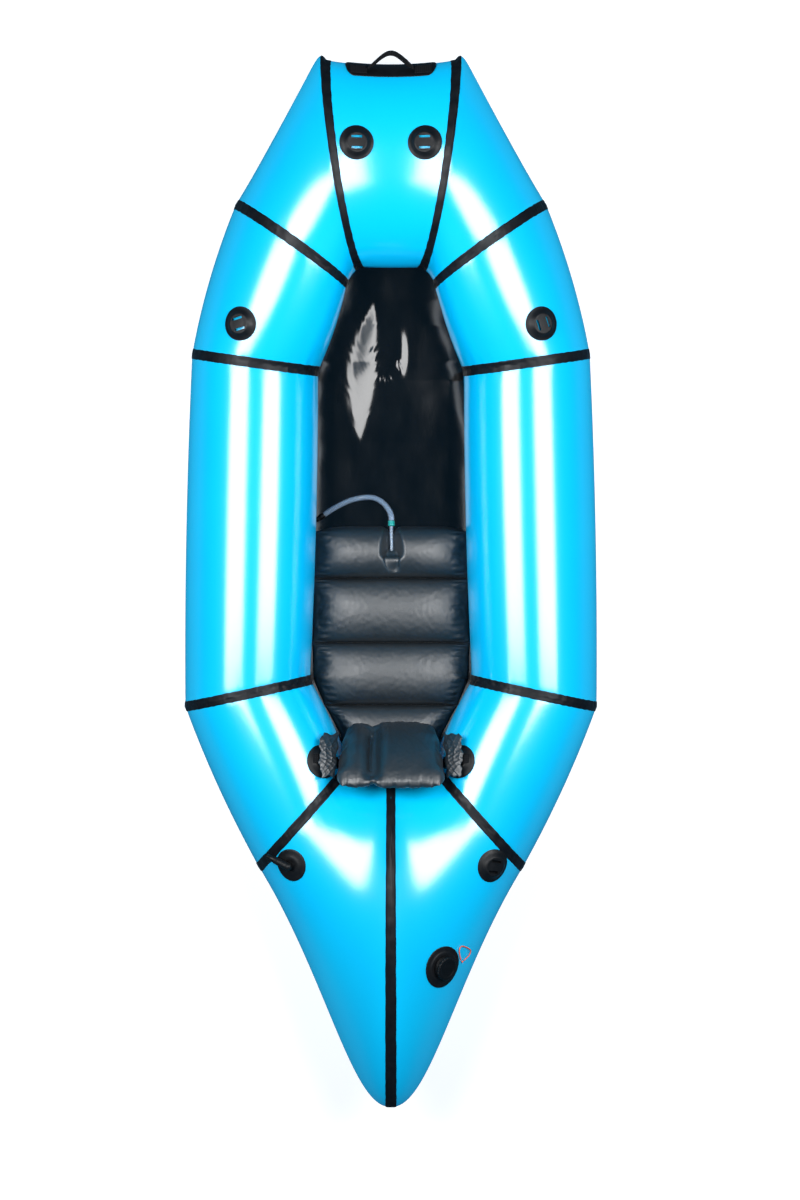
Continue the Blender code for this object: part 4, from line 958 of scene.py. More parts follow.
def make_patch(name, spot, material, painted_shade_floor=False):
    """A moulded lash patch: thin brim, cone, flat top with two strap slots over a tunnel, which on some
    patches keeps a dark rubber floor as painted shade.
    """
    profile = [(0.0, 0.0), (0.010, 0.0), (0.020, 0.0), (0.029, 0.0), (0.0362, 0.0)]
    profile += [(0.0368, 0.0003), (0.0368, 0.0010), (0.0364, 0.0014), (0.0345, 0.0018), (0.0320, 0.0026)]
    profile += [(0.0295, 0.0038), (0.0278, 0.0050), (0.0255, 0.0068), (0.0232, 0.0086), (0.0222, 0.0094)]
    profile += [(0.0212, 0.0099), (0.0200, 0.0101), (0.0185, 0.0100), (0.0170, 0.0098), (0.0120, 0.0097)]
    profile += [(0.0060, 0.0097), (0.0, 0.0097)]
    piece = turned(name, profile, 96)
    # The stern's and the backrest's patches get a shallower tunnel that leaves a rubber floor under it. This
    # is painted shade: a dark sheet that stands in for the shade on the hull, so their slots show black and
    # not the blue hull.
    tunnel = (0.00415, 0.0049) if painted_shade_floor else (0.00225, 0.0085)
    slot = 0.0119 if painted_shade_floor else 0.0065
    boolean_cut(piece, (
        (Vector((0, 0, tunnel[0])), (0.0250, 0.0310, tunnel[1]), 0.0),
        (Vector((0, 0.0117, slot)), (0.0240, 0.0054, 0.02), 0.0014),
        (Vector((0, -0.0117, slot)), (0.0240, 0.0054, 0.02), 0.0014),
    ))
    shape = bmesh.new()
    shape.from_mesh(piece.data)
    bmesh.ops.triangulate(shape, faces=[face for face in shape.faces if len(face.verts) > 4])
    for vert in shape.verts:
        vert.co = spot.drape(vert.co.x, vert.co.y, vert.co.z + SKIN_GAP * 0.5)
    shape.to_mesh(piece.data)
    shape.free()
    piece.data.shade_smooth()
    piece.data.set_sharp_from_angle(angle=math.radians(32))
    return dress(piece, "hull", "moulded_rubber", material, name.replace("patch_", "", 1))


def make_patches(skin, material):
    for side, sign in (("right", 1), ("left", -1)):
        for name, at, heading in (
            ("bow_lash_patch", (0.073, 0.924), (0, 1)),
            ("shoulder_lash_patch", (0.3235, 0.545), (0.9, 0.3) if side == "right" else (0.3, 1)),
            ("backrest_lash_patch", BACKREST_PATCH_PLACE, (1, 0)),
        ):
            spot = Spot(skin, (sign * at[0], at[1]), (sign * heading[0], heading[1]))
            # The backrest's patches, and the stern's patch below, get the dark tunnel floor that paints the
            # hull's shade into their slots.
            make_patch(f"patch_{name}_{side}", spot, material, name.startswith("backrest"))
    make_patch("patch_stern_lash_patch", Spot(skin, STERN_PATCH_PLACE, (0.2, 1)), material, True)


def draped_disc(name, spot, rings, material, slot, node, sides=96, body="hull"):
    """A flat moulded ring laid on the hull; rings are (radius, top height) from the rim inwards."""
    low = [(rings[-1][0], 0.0)] + [(r, 0.0) for r, _ in rings[::-1][1:]]
    spread = list(rings) + low
    angle = [2 * PI * i / sides for i in range(sides)]
    grid = np.array([
        [spot.drape(r * math.cos(a), r * math.sin(a), h + SKIN_GAP * 0.6) for a in angle] for r, h in spread
    ])
    piece = grid_mesh(name, grid, closed_rows=True)
    piece.data.set_sharp_from_angle(angle=math.radians(40))
    return dress(piece, body, slot, material, node)


# Valves

def make_main_valve(skin, materials):
    spot = Spot(skin, VALVE_PLACE, (0, 1))
    rings = ((0.0455, 0.0002), (0.0460, 0.0008), (0.0452, 0.0013), (0.0430, 0.0014), (0.0400, 0.0016),
             (0.0370, 0.0018), (0.0352, 0.0021), (0.0340, 0.0028), (0.0328, 0.0032), (0.0300, 0.0032),
             (0.0260, 0.0031), (0.0230, 0.0031), (0.0226, 0.0028))
    draped_disc("disc_valve_flange", spot, rings, materials["rubber"], "moulded_rubber", "valve_flange")
    frame_of = spot.frame(SKIN_GAP)
    neck = ((0.0165, -0.0100), (0.0207, -0.0100), (0.0210, -0.0096), (0.0210, 0.0038), (0.0258, 0.0038),
            (0.0262, 0.0042), (0.0262, 0.0056), (0.0258, 0.0060), (0.0199, 0.0060), (0.0195, 0.0064),
            (0.0195, 0.0080), (0.0191, 0.0084), (0.0169, 0.0084), (0.0165, 0.0080))
    piece = turned("valve_neck_ring", neck, 96, frame_of)
    dress(piece, "hull", "valve_plastic", materials["plastic"], "valve_neck")
    gasket = [(0.0205, 0.0063), (0.0246, 0.0063)]
    bulge = np.linspace(0.3, PI - 0.3, 7)
    gasket += [(0.0246 + 0.0006 * math.sin(a), 0.0073 - 0.0010 * math.cos(a)) for a in bulge]
    gasket += [(0.0246, 0.0083), (0.0205, 0.0083)]
    piece = turned("valve_gasket_ring", gasket, 96, frame_of)
    dress(piece, "cap_thread", "moulded_rubber", materials["rubber"], "valve_gasket")
    grips, steps = 24, 8
    rows = []
    for i in range(grips * steps):
        a = 2 * PI * i / (grips * steps)
        groove = 0.0011 * max(0.0, math.cos(2 * PI * (i % steps) / steps)) ** 1.5
        rim = 0.0255 - groove
        profile = ((0.0, 0.0087), (rim - 0.0006, 0.0087), (rim, 0.0093), (rim, 0.0120), (rim, 0.0146),
                   (rim - 0.0004, 0.0155), (min(rim, 0.0240) - 0.0008, 0.0162), (0.0222, 0.0165),
                   (0.0195, 0.0165), (0.0186, 0.0163), (0.0176, 0.0156), (0.0168, 0.0154),
                   (0.0100, 0.0154), (0.0, 0.0154))
        rows.append([frame_of @ Vector((r * math.cos(a), r * math.sin(a), z)) for r, z in profile])
    shape = bmesh.new()
    loops = [[shape.verts.new(point) for point in row] for row in rows]
    for i in range(len(loops)):
        low, high = loops[i], loops[(i + 1) % len(loops)]
        for k in range(len(low) - 1):
            shape.faces.new((low[k], low[k + 1], high[k + 1], high[k]))
    bmesh.ops.remove_doubles(shape, verts=shape.verts, dist=1e-7)
    bmesh.ops.recalc_face_normals(shape, faces=shape.faces)
    mesh = bpy.data.meshes.new("valve_cap_body")
    shape.to_mesh(mesh)
    shape.free()
    cap = finish_mesh("valve_cap_body", mesh)
    cap.data.set_sharp_from_angle(angle=math.radians(35))
    dress(cap, "cap", "valve_plastic", materials["plastic"], "valve_cap")
    return spot


def make_topoff(skin, materials):
    end = Spot(skin, TOPOFF_TIP, (0, 1))
    centre = Spot(skin, TOPOFF_PLACE, (0, 1))
    heading = (end.origin - centre.origin).to_2d()
    spot = Spot(skin, TOPOFF_PLACE, heading)
    rings = ((0.0350, 0.0002), (0.0355, 0.0008), (0.0348, 0.0013), (0.0320, 0.0015), (0.0280, 0.0017),
             (0.0235, 0.0020), (0.0210, 0.0026), (0.0195, 0.0032), (0.0170, 0.0034), (0.0140, 0.0034),
             (0.0126, 0.0032), (0.0122, 0.0010), (0.0092, 0.0006), (0.0020, 0.0006))
    draped_disc("disc_topoff_flange", spot, rings, materials["rubber"], "moulded_rubber", "topoff_flange")
    hinge = spot.origin + spot.normal * 0.0128
    tip = end.origin + end.normal * 0.0150
    along = (tip - hinge).normalized()
    side = along.cross(spot.normal).normalized()
    up = side.cross(along)
    place = Matrix.Translation(hinge) @ Matrix((side, up, along)).transposed().to_4x4()
    ball, radius, bore = 0.0084, 0.0080, 0.0045
    stem = [(ball * math.sin(a), -ball * math.cos(a)) for a in np.linspace(0, PI / 2, 14)]
    stem += [(0.0082, 0.0022), (0.0076, 0.0040), (radius, 0.0054)]
    for k in range(5):
        z = 0.0085 + k * 0.0040
        rib = radius + 0.0003
        stem += [(radius, z), (rib, z + 0.0006), (rib, z + 0.0014), (radius, z + 0.0020)]
    stem += [(radius, 0.0332), (radius - 0.0006, 0.0340), (bore, 0.0340), (bore, 0.0), (0.0, 0.0)]
    piece = turned("topoff_stem_body", stem, 64, place)
    dress(piece, "mouth_stem", "moulded_rubber", materials["rubber"], "topoff_stem")
    mouth = [(0.0020, 0.0343), (0.0066, 0.0343), (0.0070, 0.0347), (0.0070, 0.0436), (0.0066, 0.0441)]
    mouth += [(0.0058, 0.0445), (0.0056, 0.0450), (0.0056, 0.0526), (0.0054, 0.0536)]
    mouth += [(0.0048, 0.0540), (0.0020, 0.0540)]
    piece = turned("topoff_mouthpiece_body", mouth, 64, place)
    dress(piece, "mouth_nozzle", "valve_plastic", materials["plastic"], "topoff_mouthpiece")


# Tubes and webbing

def frames_along(path):
    """Two unit vectors across a path at each of its points, turning as little as they can."""
    tangent = unit(np.gradient(path, axis=0))
    start = np.array((0.0, 0.0, 1.0)) if abs(tangent[0, 2]) < 0.8 else np.array((1.0, 0.0, 0.0))
    first = np.empty_like(path)
    first[0] = unit(start - tangent[0] * (start @ tangent[0]))
    for i in range(1, len(path)):
        first[i] = unit(first[i - 1] - tangent[i] * (first[i - 1] @ tangent[i]))
    return tangent, first, np.cross(tangent, first)


def tube(name, path, radius, bore=0.0, sides=40):
    """A round tube along a path, hollow and open at its ends where it has a bore."""
    _, first, second = frames_along(path)
    angle = np.arange(sides) * 2 * PI / sides
    ring = first[:, None] * np.cos(angle)[None, :, None] + second[:, None] * np.sin(angle)[None, :, None]
    outer = path[:, None] + ring * radius
    if not bore:
        ends = []
        for place in (0, -1):
            rounded = [path[place] + ring[place] * radius * math.cos(a) for a in (0.5, 1.0)]
            ends.append(rounded)
        grid = np.concatenate([np.array(ends[0][::-1]), outer, np.array(ends[1])])
        return grid_mesh(name, grid, caps=True)
    inner = path[::-1, None] + ring[::-1] * bore
    return grid_mesh(name, np.concatenate([outer, inner]), closed_rows=True)


def strap(name, centres, halves, outs, thickness, seed=0):
    """A woven strap: rounded edges, its weave in a UV map along and across."""
    u = np.array([-1, -0.985, -0.94, -0.8, -0.55, -0.3, 0, 0.3, 0.55, 0.8, 0.94, 0.985, 1])
    edge = np.sqrt(np.clip(1 - np.abs(u) ** 18, 0.0, 1))
    edge[[0, -1]] = 0.25
    rng = np.random.default_rng(seed)
    wave = 1 + 0.04 * rng.normal(size=len(centres))
    top = centres[:, None] + halves[:, None] * u[None, :, None]
    lift = outs[:, None] * (edge * thickness / 2)[None, :, None] * wave[:, None, None]
    grid = np.concatenate([top + lift, (top - lift)[:, ::-1]], axis=1)
    run = np.concatenate([[0], np.cumsum(np.linalg.norm(np.diff(centres, axis=0), axis=1))])
    width = np.linalg.norm(halves, axis=1).mean()
    across = np.concatenate([u, u[::-1]]) * width
    return grid_mesh(name, grid, caps=True, uv_scale=(run, across))


def smooth_stations(stations, spacing=0.0015):
    """Strap stations (centre, half across, out) made dense and smooth."""
    table = np.array([[*c, *h, *o] for c, h, o in stations])
    run = np.concatenate([[0], np.cumsum(np.linalg.norm(np.diff(table[:, :3], axis=0), axis=1))])
    line = dense(table[:, :3], spacing)
    goal = np.concatenate([[0], np.cumsum(np.linalg.norm(np.diff(line, axis=0), axis=1))])
    goal *= run[-1] / goal[-1]
    halves = np.stack([np.interp(goal, run, table[:, k]) for k in range(3, 6)], axis=1)
    tangent = unit(np.gradient(line, axis=0))
    outs = unit(np.cross(tangent, halves))
    guide = np.stack([np.interp(goal, run, table[:, k]) for k in range(6, 9)], axis=1)
    outs = outs * np.where((outs * guide).sum(-1, keepdims=True) < 0, -1.0, 1.0)
    return line, halves, outs


HOSE_ROUTE = (
    (0.0005, 0.1270, 0.0530), (0.0003, 0.1370, 0.0520), (-0.0058, 0.1520, 0.0450), (-0.0160, 0.1645, 0.0350),
    (-0.0280, 0.1733, 0.0262), (-0.0406, 0.1781, 0.0180), (-0.0567, 0.1790, 0.0112),
    (-0.0720, 0.1770, 0.0084), (-0.0907, 0.1722, 0.0082), (-0.1094, 0.1640, 0.0082),
    (-0.1282, 0.1540, 0.0082), (-0.1480, 0.1408, 0.0082),
)
LANYARD_ROUTE = (
    (0.1490, -0.8225), (0.1462, -0.8095), (0.1455, -0.7985), (0.1492, -0.7920), (0.1560, -0.7925),
    (0.1640, -0.7965), (0.1700, -0.8030), (0.1672, -0.8120), (0.1610, -0.8185), (0.1555, -0.8235),
)


def pose_at(place, ahead):
    return Matrix.Translation(Vector(place)) @ Vector(ahead).to_track_quat("Z", "Y").to_matrix().to_4x4()


def make_hose(materials):
    """The seat's stem, its teal connector, the free hose and the mouth valve on its end."""
    stem_line = dense(STEM_ROUTE)
    stem = tube("tube_seat_stem", stem_line, 0.0038, 0.0026, 32)
    dress(stem, "hull", "hose_vinyl", materials["hose"], "seat_stem")
    line = dense(HOSE_ROUTE)
    hose = tube("tube_seat_hose", line, 0.0060, 0.0043, 40)
    dress(hose, "hull", "hose_vinyl", materials["hose"], "seat_hose")
    ahead = line[0] - stem_line[-1]
    length = float(np.linalg.norm(ahead))
    ring = [(0.0, 0.0004), (0.0056, 0.0004), (0.0062, 0.0007), (0.0070, 0.0014), (0.0072, 0.0020)]
    ring += [(0.0072, 0.0050), (0.0068, 0.0056), (0.0068, 0.0068), (0.0072, 0.0074)]
    ring += [(0.0072, length - 0.0018), (0.0069, length - 0.0009)]
    ring += [(0.0063, length - 0.0006), (0.0, length - 0.0006)]
    piece = turned("connector_ring", ring, 48, pose_at(stem_line[-1], ahead))
    dress(piece, "hull", "connector_plastic", materials["teal"], "seat_hose_connector")
    place = pose_at(line[-1], line[-1] - line[-4])
    body = [(0.0, 0.0004), (0.0058, 0.0004), (0.0064, 0.0008), (0.0066, 0.0016), (0.0066, 0.0040)]
    body += [(0.0062, 0.0045), (0.0062, 0.0055), (0.0066, 0.0060), (0.0066, 0.0116), (0.0062, 0.0122)]
    body += [(0.0053, 0.0125), (0.0052, 0.0150), (0.0, 0.0150)]
    valve = turned("seat_valve_barrel", body, 48, place)
    dress(valve, "hull", "valve_plastic", materials["plastic"], "seat_valve_body")
    nozzle = [(0.0, 0.0153), (0.0056, 0.0153), (0.0060, 0.0157), (0.0060, 0.0202), (0.0056, 0.0210)]
    nozzle += [(0.0050, 0.0225), (0.0046, 0.0236), (0.0040, 0.0240), (0.0, 0.0240)]
    tip = turned("seat_valve_tip", nozzle, 48, place)
    dress(tip, "seat_nozzle", "valve_plastic", materials["plastic"], "seat_valve_nozzle")


def make_lanyard(skin, spot, materials):
    """The cap's thin cord, a loop beside the flange closed by a small overhand knot."""
    points = []
    for x, y in LANYARD_ROUTE:
        hit, normal, _, _ = skin.ray_cast(Vector((x, y, 2.0)), Vector((0, 0, -1)))
        over = (hit - spot.origin).length < 0.049
        lift = 0.0010 + SKIN_GAP + (0.0020 if over else 0.0006)
        points.append(hit + (normal if normal.z > 0 else -normal) * lift)
    line = dense([tuple(point) for point in points], 0.0006)
    _, first, second = frames_along(line)
    angle = np.arange(24) * 2 * PI / 24
    run = np.arange(len(line)) * 0.0006
    braid = 1 + 0.07 * np.sin(8 * angle[None, :] + run[:, None] * 2 * PI / 0.0022) * np.sin(
        8 * angle[None, :] - run[:, None] * 2 * PI / 0.0022)
    ring = first[:, None] * np.cos(angle)[None, :, None] + second[:, None] * np.sin(angle)[None, :, None]
    grid = line[:, None] + ring * (0.0011 * braid)[..., None]
    cord = grid_mesh("cord_lanyard", grid, caps=True)
    dress(cord, "hull", "lanyard_cord", materials["cord"], "valve_lanyard")
    middle = (np.array(points[0]) + np.array(points[-1])) / 2 - np.array((0, 0.0026, -0.0002))
    turn = np.linspace(0, 2 * PI, 90, endpoint=False)
    knot = np.stack([
        np.sin(turn) + 2 * np.sin(2 * turn), np.cos(turn) - 2 * np.cos(2 * turn), -np.sin(3 * turn) * 1.3,
    ], axis=1) * 0.00048 + middle
    closed = np.concatenate([knot, knot[:1]])
    _, first, second = frames_along(closed)
    ring = first[:-1, None] * np.cos(angle)[None, :, None] + second[:-1, None] * np.sin(angle)[None, :, None]
    piece = grid_mesh("cord_knot", closed[:-1, None] + ring * 0.00100, closed_rows=True)
    dress(piece, "hull", "lanyard_cord", materials["cord"], "valve_lanyard_knot")


def make_handle(panel, materials):
    """The bow's handle: a welded strip with round ends, two sewn tabs and the loop between them."""
    phase = panel.start.phase

    def place(x, turn, height):
        angle = phase + np.radians(turn)
        t = 0.5 + x / (panel.end.at(angle)[..., 0] - panel.start.at(angle)[..., 0])
        point, facing = skin_flat(panel, angle, t)
        return point + facing * np.asarray(height, float)[..., None]

    low, high, half_length = -7.0, 24.5, 0.0975
    x = half_length * np.sin(np.linspace(-PI / 2, PI / 2, 61))
    reach = np.clip((half_length - np.abs(x)) / 0.020, 0, 1)
    grow = np.sqrt(np.clip(1 - (1 - reach) ** 2, 0.0004, 1))
    share = np.array([-1.0, -0.97, -0.85, -0.5, 0.0, 0.5, 0.85, 0.97, 1.0])
    rim = np.array([0.15, 0.7, 1, 1, 1, 1, 1, 0.7, 0.15])
    rows = []
    for i in range(len(x)):
        turn = (low + high) / 2 + (high - low) / 2 * share * grow[i]
        thick = 0.0013 * rim * min(1.0, 0.25 + grow[i])
        outer = place(np.full(9, x[i]), turn, 0.0014 + thick)
        inner = place(np.full(9, x[i]), turn[::-1], np.full(9, 0.0013))
        rows.append(np.concatenate([outer, inner]))
    piece = grid_mesh("strip_handle", np.array(rows), caps=True)
    dress(piece, "hull", "moulded_rubber", materials["rubber"], "bow_handle_patch")
    lift = 0.0014 + 0.0014 + 0.0005 + 0.0012
    turn = 17.0
    for side, sign in (("left", -1), ("right", 1)):
        stations = []
        for along in (0.051, 0.060, 0.067, 0.078, 0.088):
            centre = place(np.array(sign * along), np.array(turn), lift)
            at = np.array(sign * along)
            up = place(at, np.array(turn + 3), lift) - place(at, np.array(turn - 3), lift)
            out = place(at, np.array(turn), lift + 0.01) - centre
            stations.append((centre, unit(up) * 0.0125, out))
        line, halves, outs = smooth_stations(stations)
        piece = strap(f"tab_handle_{side}", line, halves, outs, 0.0023, 5)
        dress(piece, "hull", "webbing", materials["webbing"], f"bow_handle_tab_{side}")
    foot = place(np.array(0.049), np.array(turn), lift + 0.0035)
    side_line = (
        (0.049, 0.0), (0.0425, 0.0055), (0.0330, 0.0130), (0.0210, 0.0232), (0.0095, 0.0305), (0.0, 0.0325),
    )
    knots = [(-a, b, 0.0) for a, b in side_line] + [(a, b, 0.0) for a, b in side_line[-2::-1]]
    line = dense(knots, 0.0012)
    tilt = np.radians(turn + 9.0 * line[:, 0] / 0.049)
    across = np.stack([np.zeros(len(line)), np.sin(tilt), np.cos(tilt)], axis=1)
    swell = np.clip(line[:, 1] / 0.012, 0, 1)
    width = 0.008 + 0.017 * swell
    centres = np.stack([line[:, 0], foot[1] + line[:, 1], np.full(len(line), foot[2])], axis=1)
    tangent = unit(np.gradient(centres, axis=0))
    outs = unit(np.cross(tangent, across))
    piece = strap("loop_handle", centres, across * width[:, None] / 2, outs, 0.0023, 6)
    dress(piece, "handle", "webbing", materials["webbing"], "bow_handle_loop")


def make_backrest_straps(skin, materials):
    """Each side's strap through its lash patch, its adjuster and the crumpled wing over it."""
    heights = (
        (-0.036, 0.0132), (-0.0190, 0.0128), (-0.0150, 0.0120), (-0.0118, 0.0082), (-0.0082, 0.0040),
        (0.0082, 0.0040), (0.0118, 0.0082), (0.0150, 0.0120), (0.0190, 0.0126), (0.0255, 0.0118),
        (0.0305, 0.0108),
    )
    for side, sign in (("right", 1), ("left", -1)):
        spot = Spot(skin, (sign * BACKREST_PATCH_PLACE[0], BACKREST_PATCH_PLACE[1]), (sign, 0))
        stations = [(spot.drape(0, y, h + SKIN_GAP), spot.across * 0.010, spot.normal) for y, h in heights]
        line, halves, outs = smooth_stations(stations, 0.0012)
        piece = strap(f"strap_backrest_{side}", line, halves, outs, 0.0014, 8)
        dress(piece, "hull", "webbing", materials["webbing"], f"backrest_strap_{side}")
        middle = (stations[0][0] + stations[1][0]) / 2
        along = (stations[1][0] - stations[0][0]).normalized()
        over = spot.across.cross(along)
        loops = []
        for k in range(48):
            a = 2 * PI * k / 48
            c, s = math.cos(a), math.sin(a)
            square = (abs(c) ** 6 + abs(s) ** 6) ** (-1 / 6)
            hole = spot.across * (0.0105 * c * square) + over * (0.0012 * s * square)
            rim = spot.across * (0.0131 * c * square) + over * (0.0032 * s * square)
            ring = []
            for share, push in ((1, -0.0040), (0.9, -0.0045), (0.1, -0.0045), (0, -0.0040), (0, 0.0040),
                                (0.1, 0.0045), (0.9, 0.0045), (1, 0.0040)):
                ring.append(middle + hole.lerp(rim, share) + along * push)
            loops.append(ring)
        piece = grid_mesh(f"keeper_backrest_{side}", np.array(loops), closed_rows=True)
        piece.data.set_sharp_from_angle(angle=math.radians(50))
        dress(piece, "hull", "valve_plastic", materials["plastic"], f"backrest_keeper_{side}")
        make_wing(skin, spot, side, sign, materials["cushion"])


# Each family of folds: its heading across and along, and how close together its folds are
WING_FOLDS = ((1.0, 0.35, 260), (0.8, -0.7, 330), (0.3, 1.0, 300), (0.9, 0.9, 480))


def make_wing(skin, spot, side, sign, material):
    """A puffy crumpled flap of the backrest's cloth over its strap, ragged round its edge."""
    rng = np.random.default_rng(31 if side == "right" else 47)
    rows, columns = 72, 34
    shift = rng.uniform(0, 6, 6)
    outer, inner = [], []
    for s in np.linspace(0, 1, rows):
        row, under = [], []
        ends = abs(2 * s - 1) ** 4
        near = 0.1215 + 0.0075 * min(1.0, s / 0.55) + 0.0016 * math.sin(19 * s + shift[0]) + 0.006 * ends
        far = 0.1655 + 0.0018 * math.sin(15 * s + shift[1]) + 0.0012 * math.sin(37 * s + shift[2])
        far = far - 0.008 * ends
        for t in np.linspace(0, 1, columns):
            x = near + (far - near) * t
            ragged = 0.0022 * math.sin(9 * t + shift[3]) + 0.005 * abs(2 * t - 1) ** 4
            y = -0.3420 - 0.0900 * s + ragged * (1 - 2 * s)
            hit, _, _, _ = skin.ray_cast(Vector((sign * x, y, 2.0)), Vector((0, 0, -1)))
            dome = math.sqrt(max(0.0, (1 - (2 * s - 1) ** 6) * (1 - (2 * t - 1) ** 4)))
            crumple = 0.0
            for k, (a, b, c) in enumerate(WING_FOLDS):
                wave = math.sin((x * a + y * b) * c + shift[k] + 1.5 * math.sin(y * 90 + k))
                crumple += (1 - abs(wave)) ** 2 / (1 + 0.4 * k)
            lift = 0.0196 + 0.0006
            row.append(hit + spot.normal * (lift + 0.0003 + dome * (0.0024 + 0.0013 * crumple)))
            under.append(hit + spot.normal * (lift - 0.0003))
        outer.append(row)
        inner.append(under)
    rim = np.ones((rows, columns), bool)
    rim[1:-1, 1:-1] = False
    piece = pad_object(f"flap_backrest_{side}", np.array(outer), np.array(inner), rim)
    refine(piece)
    dress(piece, "hull", "cushion_fabric", material, f"backrest_wing_{side}")


# Floor

def floor_lines(panels, side):
    """Rows of places along one side that the floor is joined at, as in the CAD, evenly spaced."""
    names = ("bow_quarter", "bow_shoulder", "side_tube", "stern_quarter", "stern_half")
    rows = []
    for step in (0, 0.5, 1, 1.5, 2):
        line = []
        for name in names:
            panel = panels[f"{name}_{side}"]
            t = np.linspace(0, 1, 40)
            place, facing = skin_flat(panel, np.full(40, 2 * PI * (21 + step) / 28), t)
            line.append(place - np.array((0, 0, 0.0018)) if step == 0 else place + facing * 0.0018)
        rows.append(np.concatenate(line))
    run = np.concatenate([[0], np.cumsum(np.linalg.norm(np.diff(rows[0], axis=0), axis=1))])
    kept = np.concatenate([[True], np.diff(run) > 1e-5])
    goals = np.linspace(0, run[-1], int(run[-1] / 0.0032))
    return [np.stack([np.interp(goals, run[kept], row[kept, k]) for k in range(3)], axis=1) for row in rows]


def floor_lift(x, y, half):
    """The slack floor's height: a long fold forward of the seat, gathered at a pucker, and fine creases."""
    rng = np.random.default_rng(5)
    stage = np.clip((y - 0.300) / 0.315, 0, 1)
    leaf = np.sin(PI * stage) ** 0.8
    middle = -0.066 + 0.030 * stage - 0.012 * leaf
    width = 0.001 + 0.031 * leaf
    u = (x - middle) / width
    slope = 0.215 * leaf ** 0.35 * np.exp(-np.abs(u) ** np.where(u > 0, 5.0, 2.6))
    small = np.sin(PI * np.clip((y - 0.438) / 0.120, 0, 1)) ** 0.7
    slope -= 0.21 * small * np.exp(-np.abs((x - 0.026 - 0.006 * small) / 0.0075) ** 4)
    step = np.gradient(x, axis=1)
    rise = np.cumsum(slope * step, axis=1)
    ends = rise[:, -1:]
    fall = np.clip((x - 0.015) / np.maximum(half - 0.030, 0.02), 0, 1)
    height = rise - ends * fall * fall * (3 - 2 * fall)
    for at_x, at_y, turn, size in (
        (-0.029, 0.447, 0.7, 0.0013), (-0.020, 0.444, 0.2, 0.0016), (-0.011, 0.441, -0.1, 0.0015),
        (-0.004, 0.443, -0.5, 0.0013), (0.017, 0.474, 0.15, 0.0022), (0.021, 0.462, -0.3, 0.0014),
        (-0.040, 0.505, 0.5, 0.0008), (-0.036, 0.487, 0.6, 0.0008), (-0.032, 0.470, 0.6, 0.0009),
    ):
        along = (y - at_y) * math.cos(turn) + (x - at_x) * math.sin(turn)
        across = (x - at_x) * math.cos(turn) - (y - at_y) * math.sin(turn)
        height += size * np.exp(-(along / 0.008) ** 2 - (across / 0.0024) ** 2)
    crease = np.zeros_like(x)
    for _ in range(14):
        heading = rng.uniform(-0.5, 0.5) + rng.choice((0.35, -0.6, 1.2))
        wave, phase = rng.uniform(30, 120), rng.uniform(0, 2 * PI)
        value = np.sin((x * math.cos(heading) + y * math.sin(heading)) * wave + phase)
        crease += np.sign(value) * np.abs(value) ** 0.8 * rng.uniform(0.3, 1.0) * 60 / wave
    fine = 0.00006 * np.sin((x * 0.8 + y * 0.6) * 900 + 4 * np.sin(y * 60)) * leaf * np.exp(-np.abs(u) ** 2)
    edge = np.exp(-((u - 0.9) / 0.35) ** 2) * leaf ** 0.5
    gathers = 0.00024 * edge * np.sin((y * 0.85 - x * 0.6) * 640 + 2.5 * np.sin(y * 130))
    fine += gathers * np.clip(np.sin(y * 90) + 0.7, 0, 1)
    streaks = np.sin((x * 0.9 + y * 0.35) * 420 + 2 * np.sin(y * 75))
    fine += 0.00010 * np.exp(-((u + 0.9) / 0.5) ** 2) * leaf ** 0.5 * streaks
    return height + 0.00022 * crease / crease.std() + fine


def make_floor(panels, material):
    """The floor: one skin under the tubes, slack forward of the seat."""
    right = floor_lines(panels, "right")
    rows, count = len(right[0]), 171
    u = np.linspace(-1, 1, count)
    grid = np.zeros((rows, count + 8, 3))
    inner = right[0]
    grid[:, 4:-4, 0] = inner[:, 0:1] * u[None, :]
    grid[:, 4:-4, 1] = inner[:, 1:2]
    grid[:, 4:-4, 2] = inner[:, 2:3]
    for k in range(1, 5):
        place = right[k]
        grid[:, count + 3 + k] = place
        grid[:, 4 - k] = place * np.array((-1, 1, 1))
    x, y = grid[:, 4:-4, 0], grid[:, 4:-4, 1]
    half = np.maximum(inner[:, 0:1], 0.001)
    rim = np.clip((half - np.abs(x)) / 0.018, 0, 1) * np.clip((y - 0.205) / 0.05, 0, 1)
    rim = rim * np.clip((0.70 - y) / 0.06, 0, 1)
    grid[:, 4:-4, 2] += np.clip(floor_lift(x, y, half), -0.0006, 0.024) * rim * rim * (3 - 2 * rim)
    below = grid - np.array((0, 0, 0.0014))
    piece = pad_sheet("skin_floor", grid, below)
    dress(piece, "hull", "floor_fabric", material, "floor")


def pad_sheet(name, top, bottom):
    """A thin closed sheet from its upper and lower faces."""
    rows, columns = top.shape[:2]
    upper = np.arange(rows * columns).reshape(rows, columns)
    lower = upper + rows * columns
    faces = []
    for corners in (
        (upper[:-1, :-1], upper[:-1, 1:], upper[1:, 1:], upper[1:, :-1]),
        (lower[:-1, :-1], lower[1:, :-1], lower[1:, 1:], lower[:-1, 1:]),
    ):
        faces += np.stack(corners, axis=-1).reshape(-1, 4).tolist()
    edge = [*upper[0, :-1], *upper[:-1, -1], *upper[-1, :0:-1], *upper[:0:-1, 0]]
    offset = rows * columns
    for a, b in zip(edge, edge[1:] + edge[:1]):
        faces.append((int(b), int(a), int(a) + offset, int(b) + offset))
    points = np.concatenate([top.reshape(-1, 3), bottom.reshape(-1, 3)])
    mesh = bpy.data.meshes.new(name)
    mesh.from_pydata(points.tolist(), [], faces)
    return finish_mesh(name, mesh)


# Studio

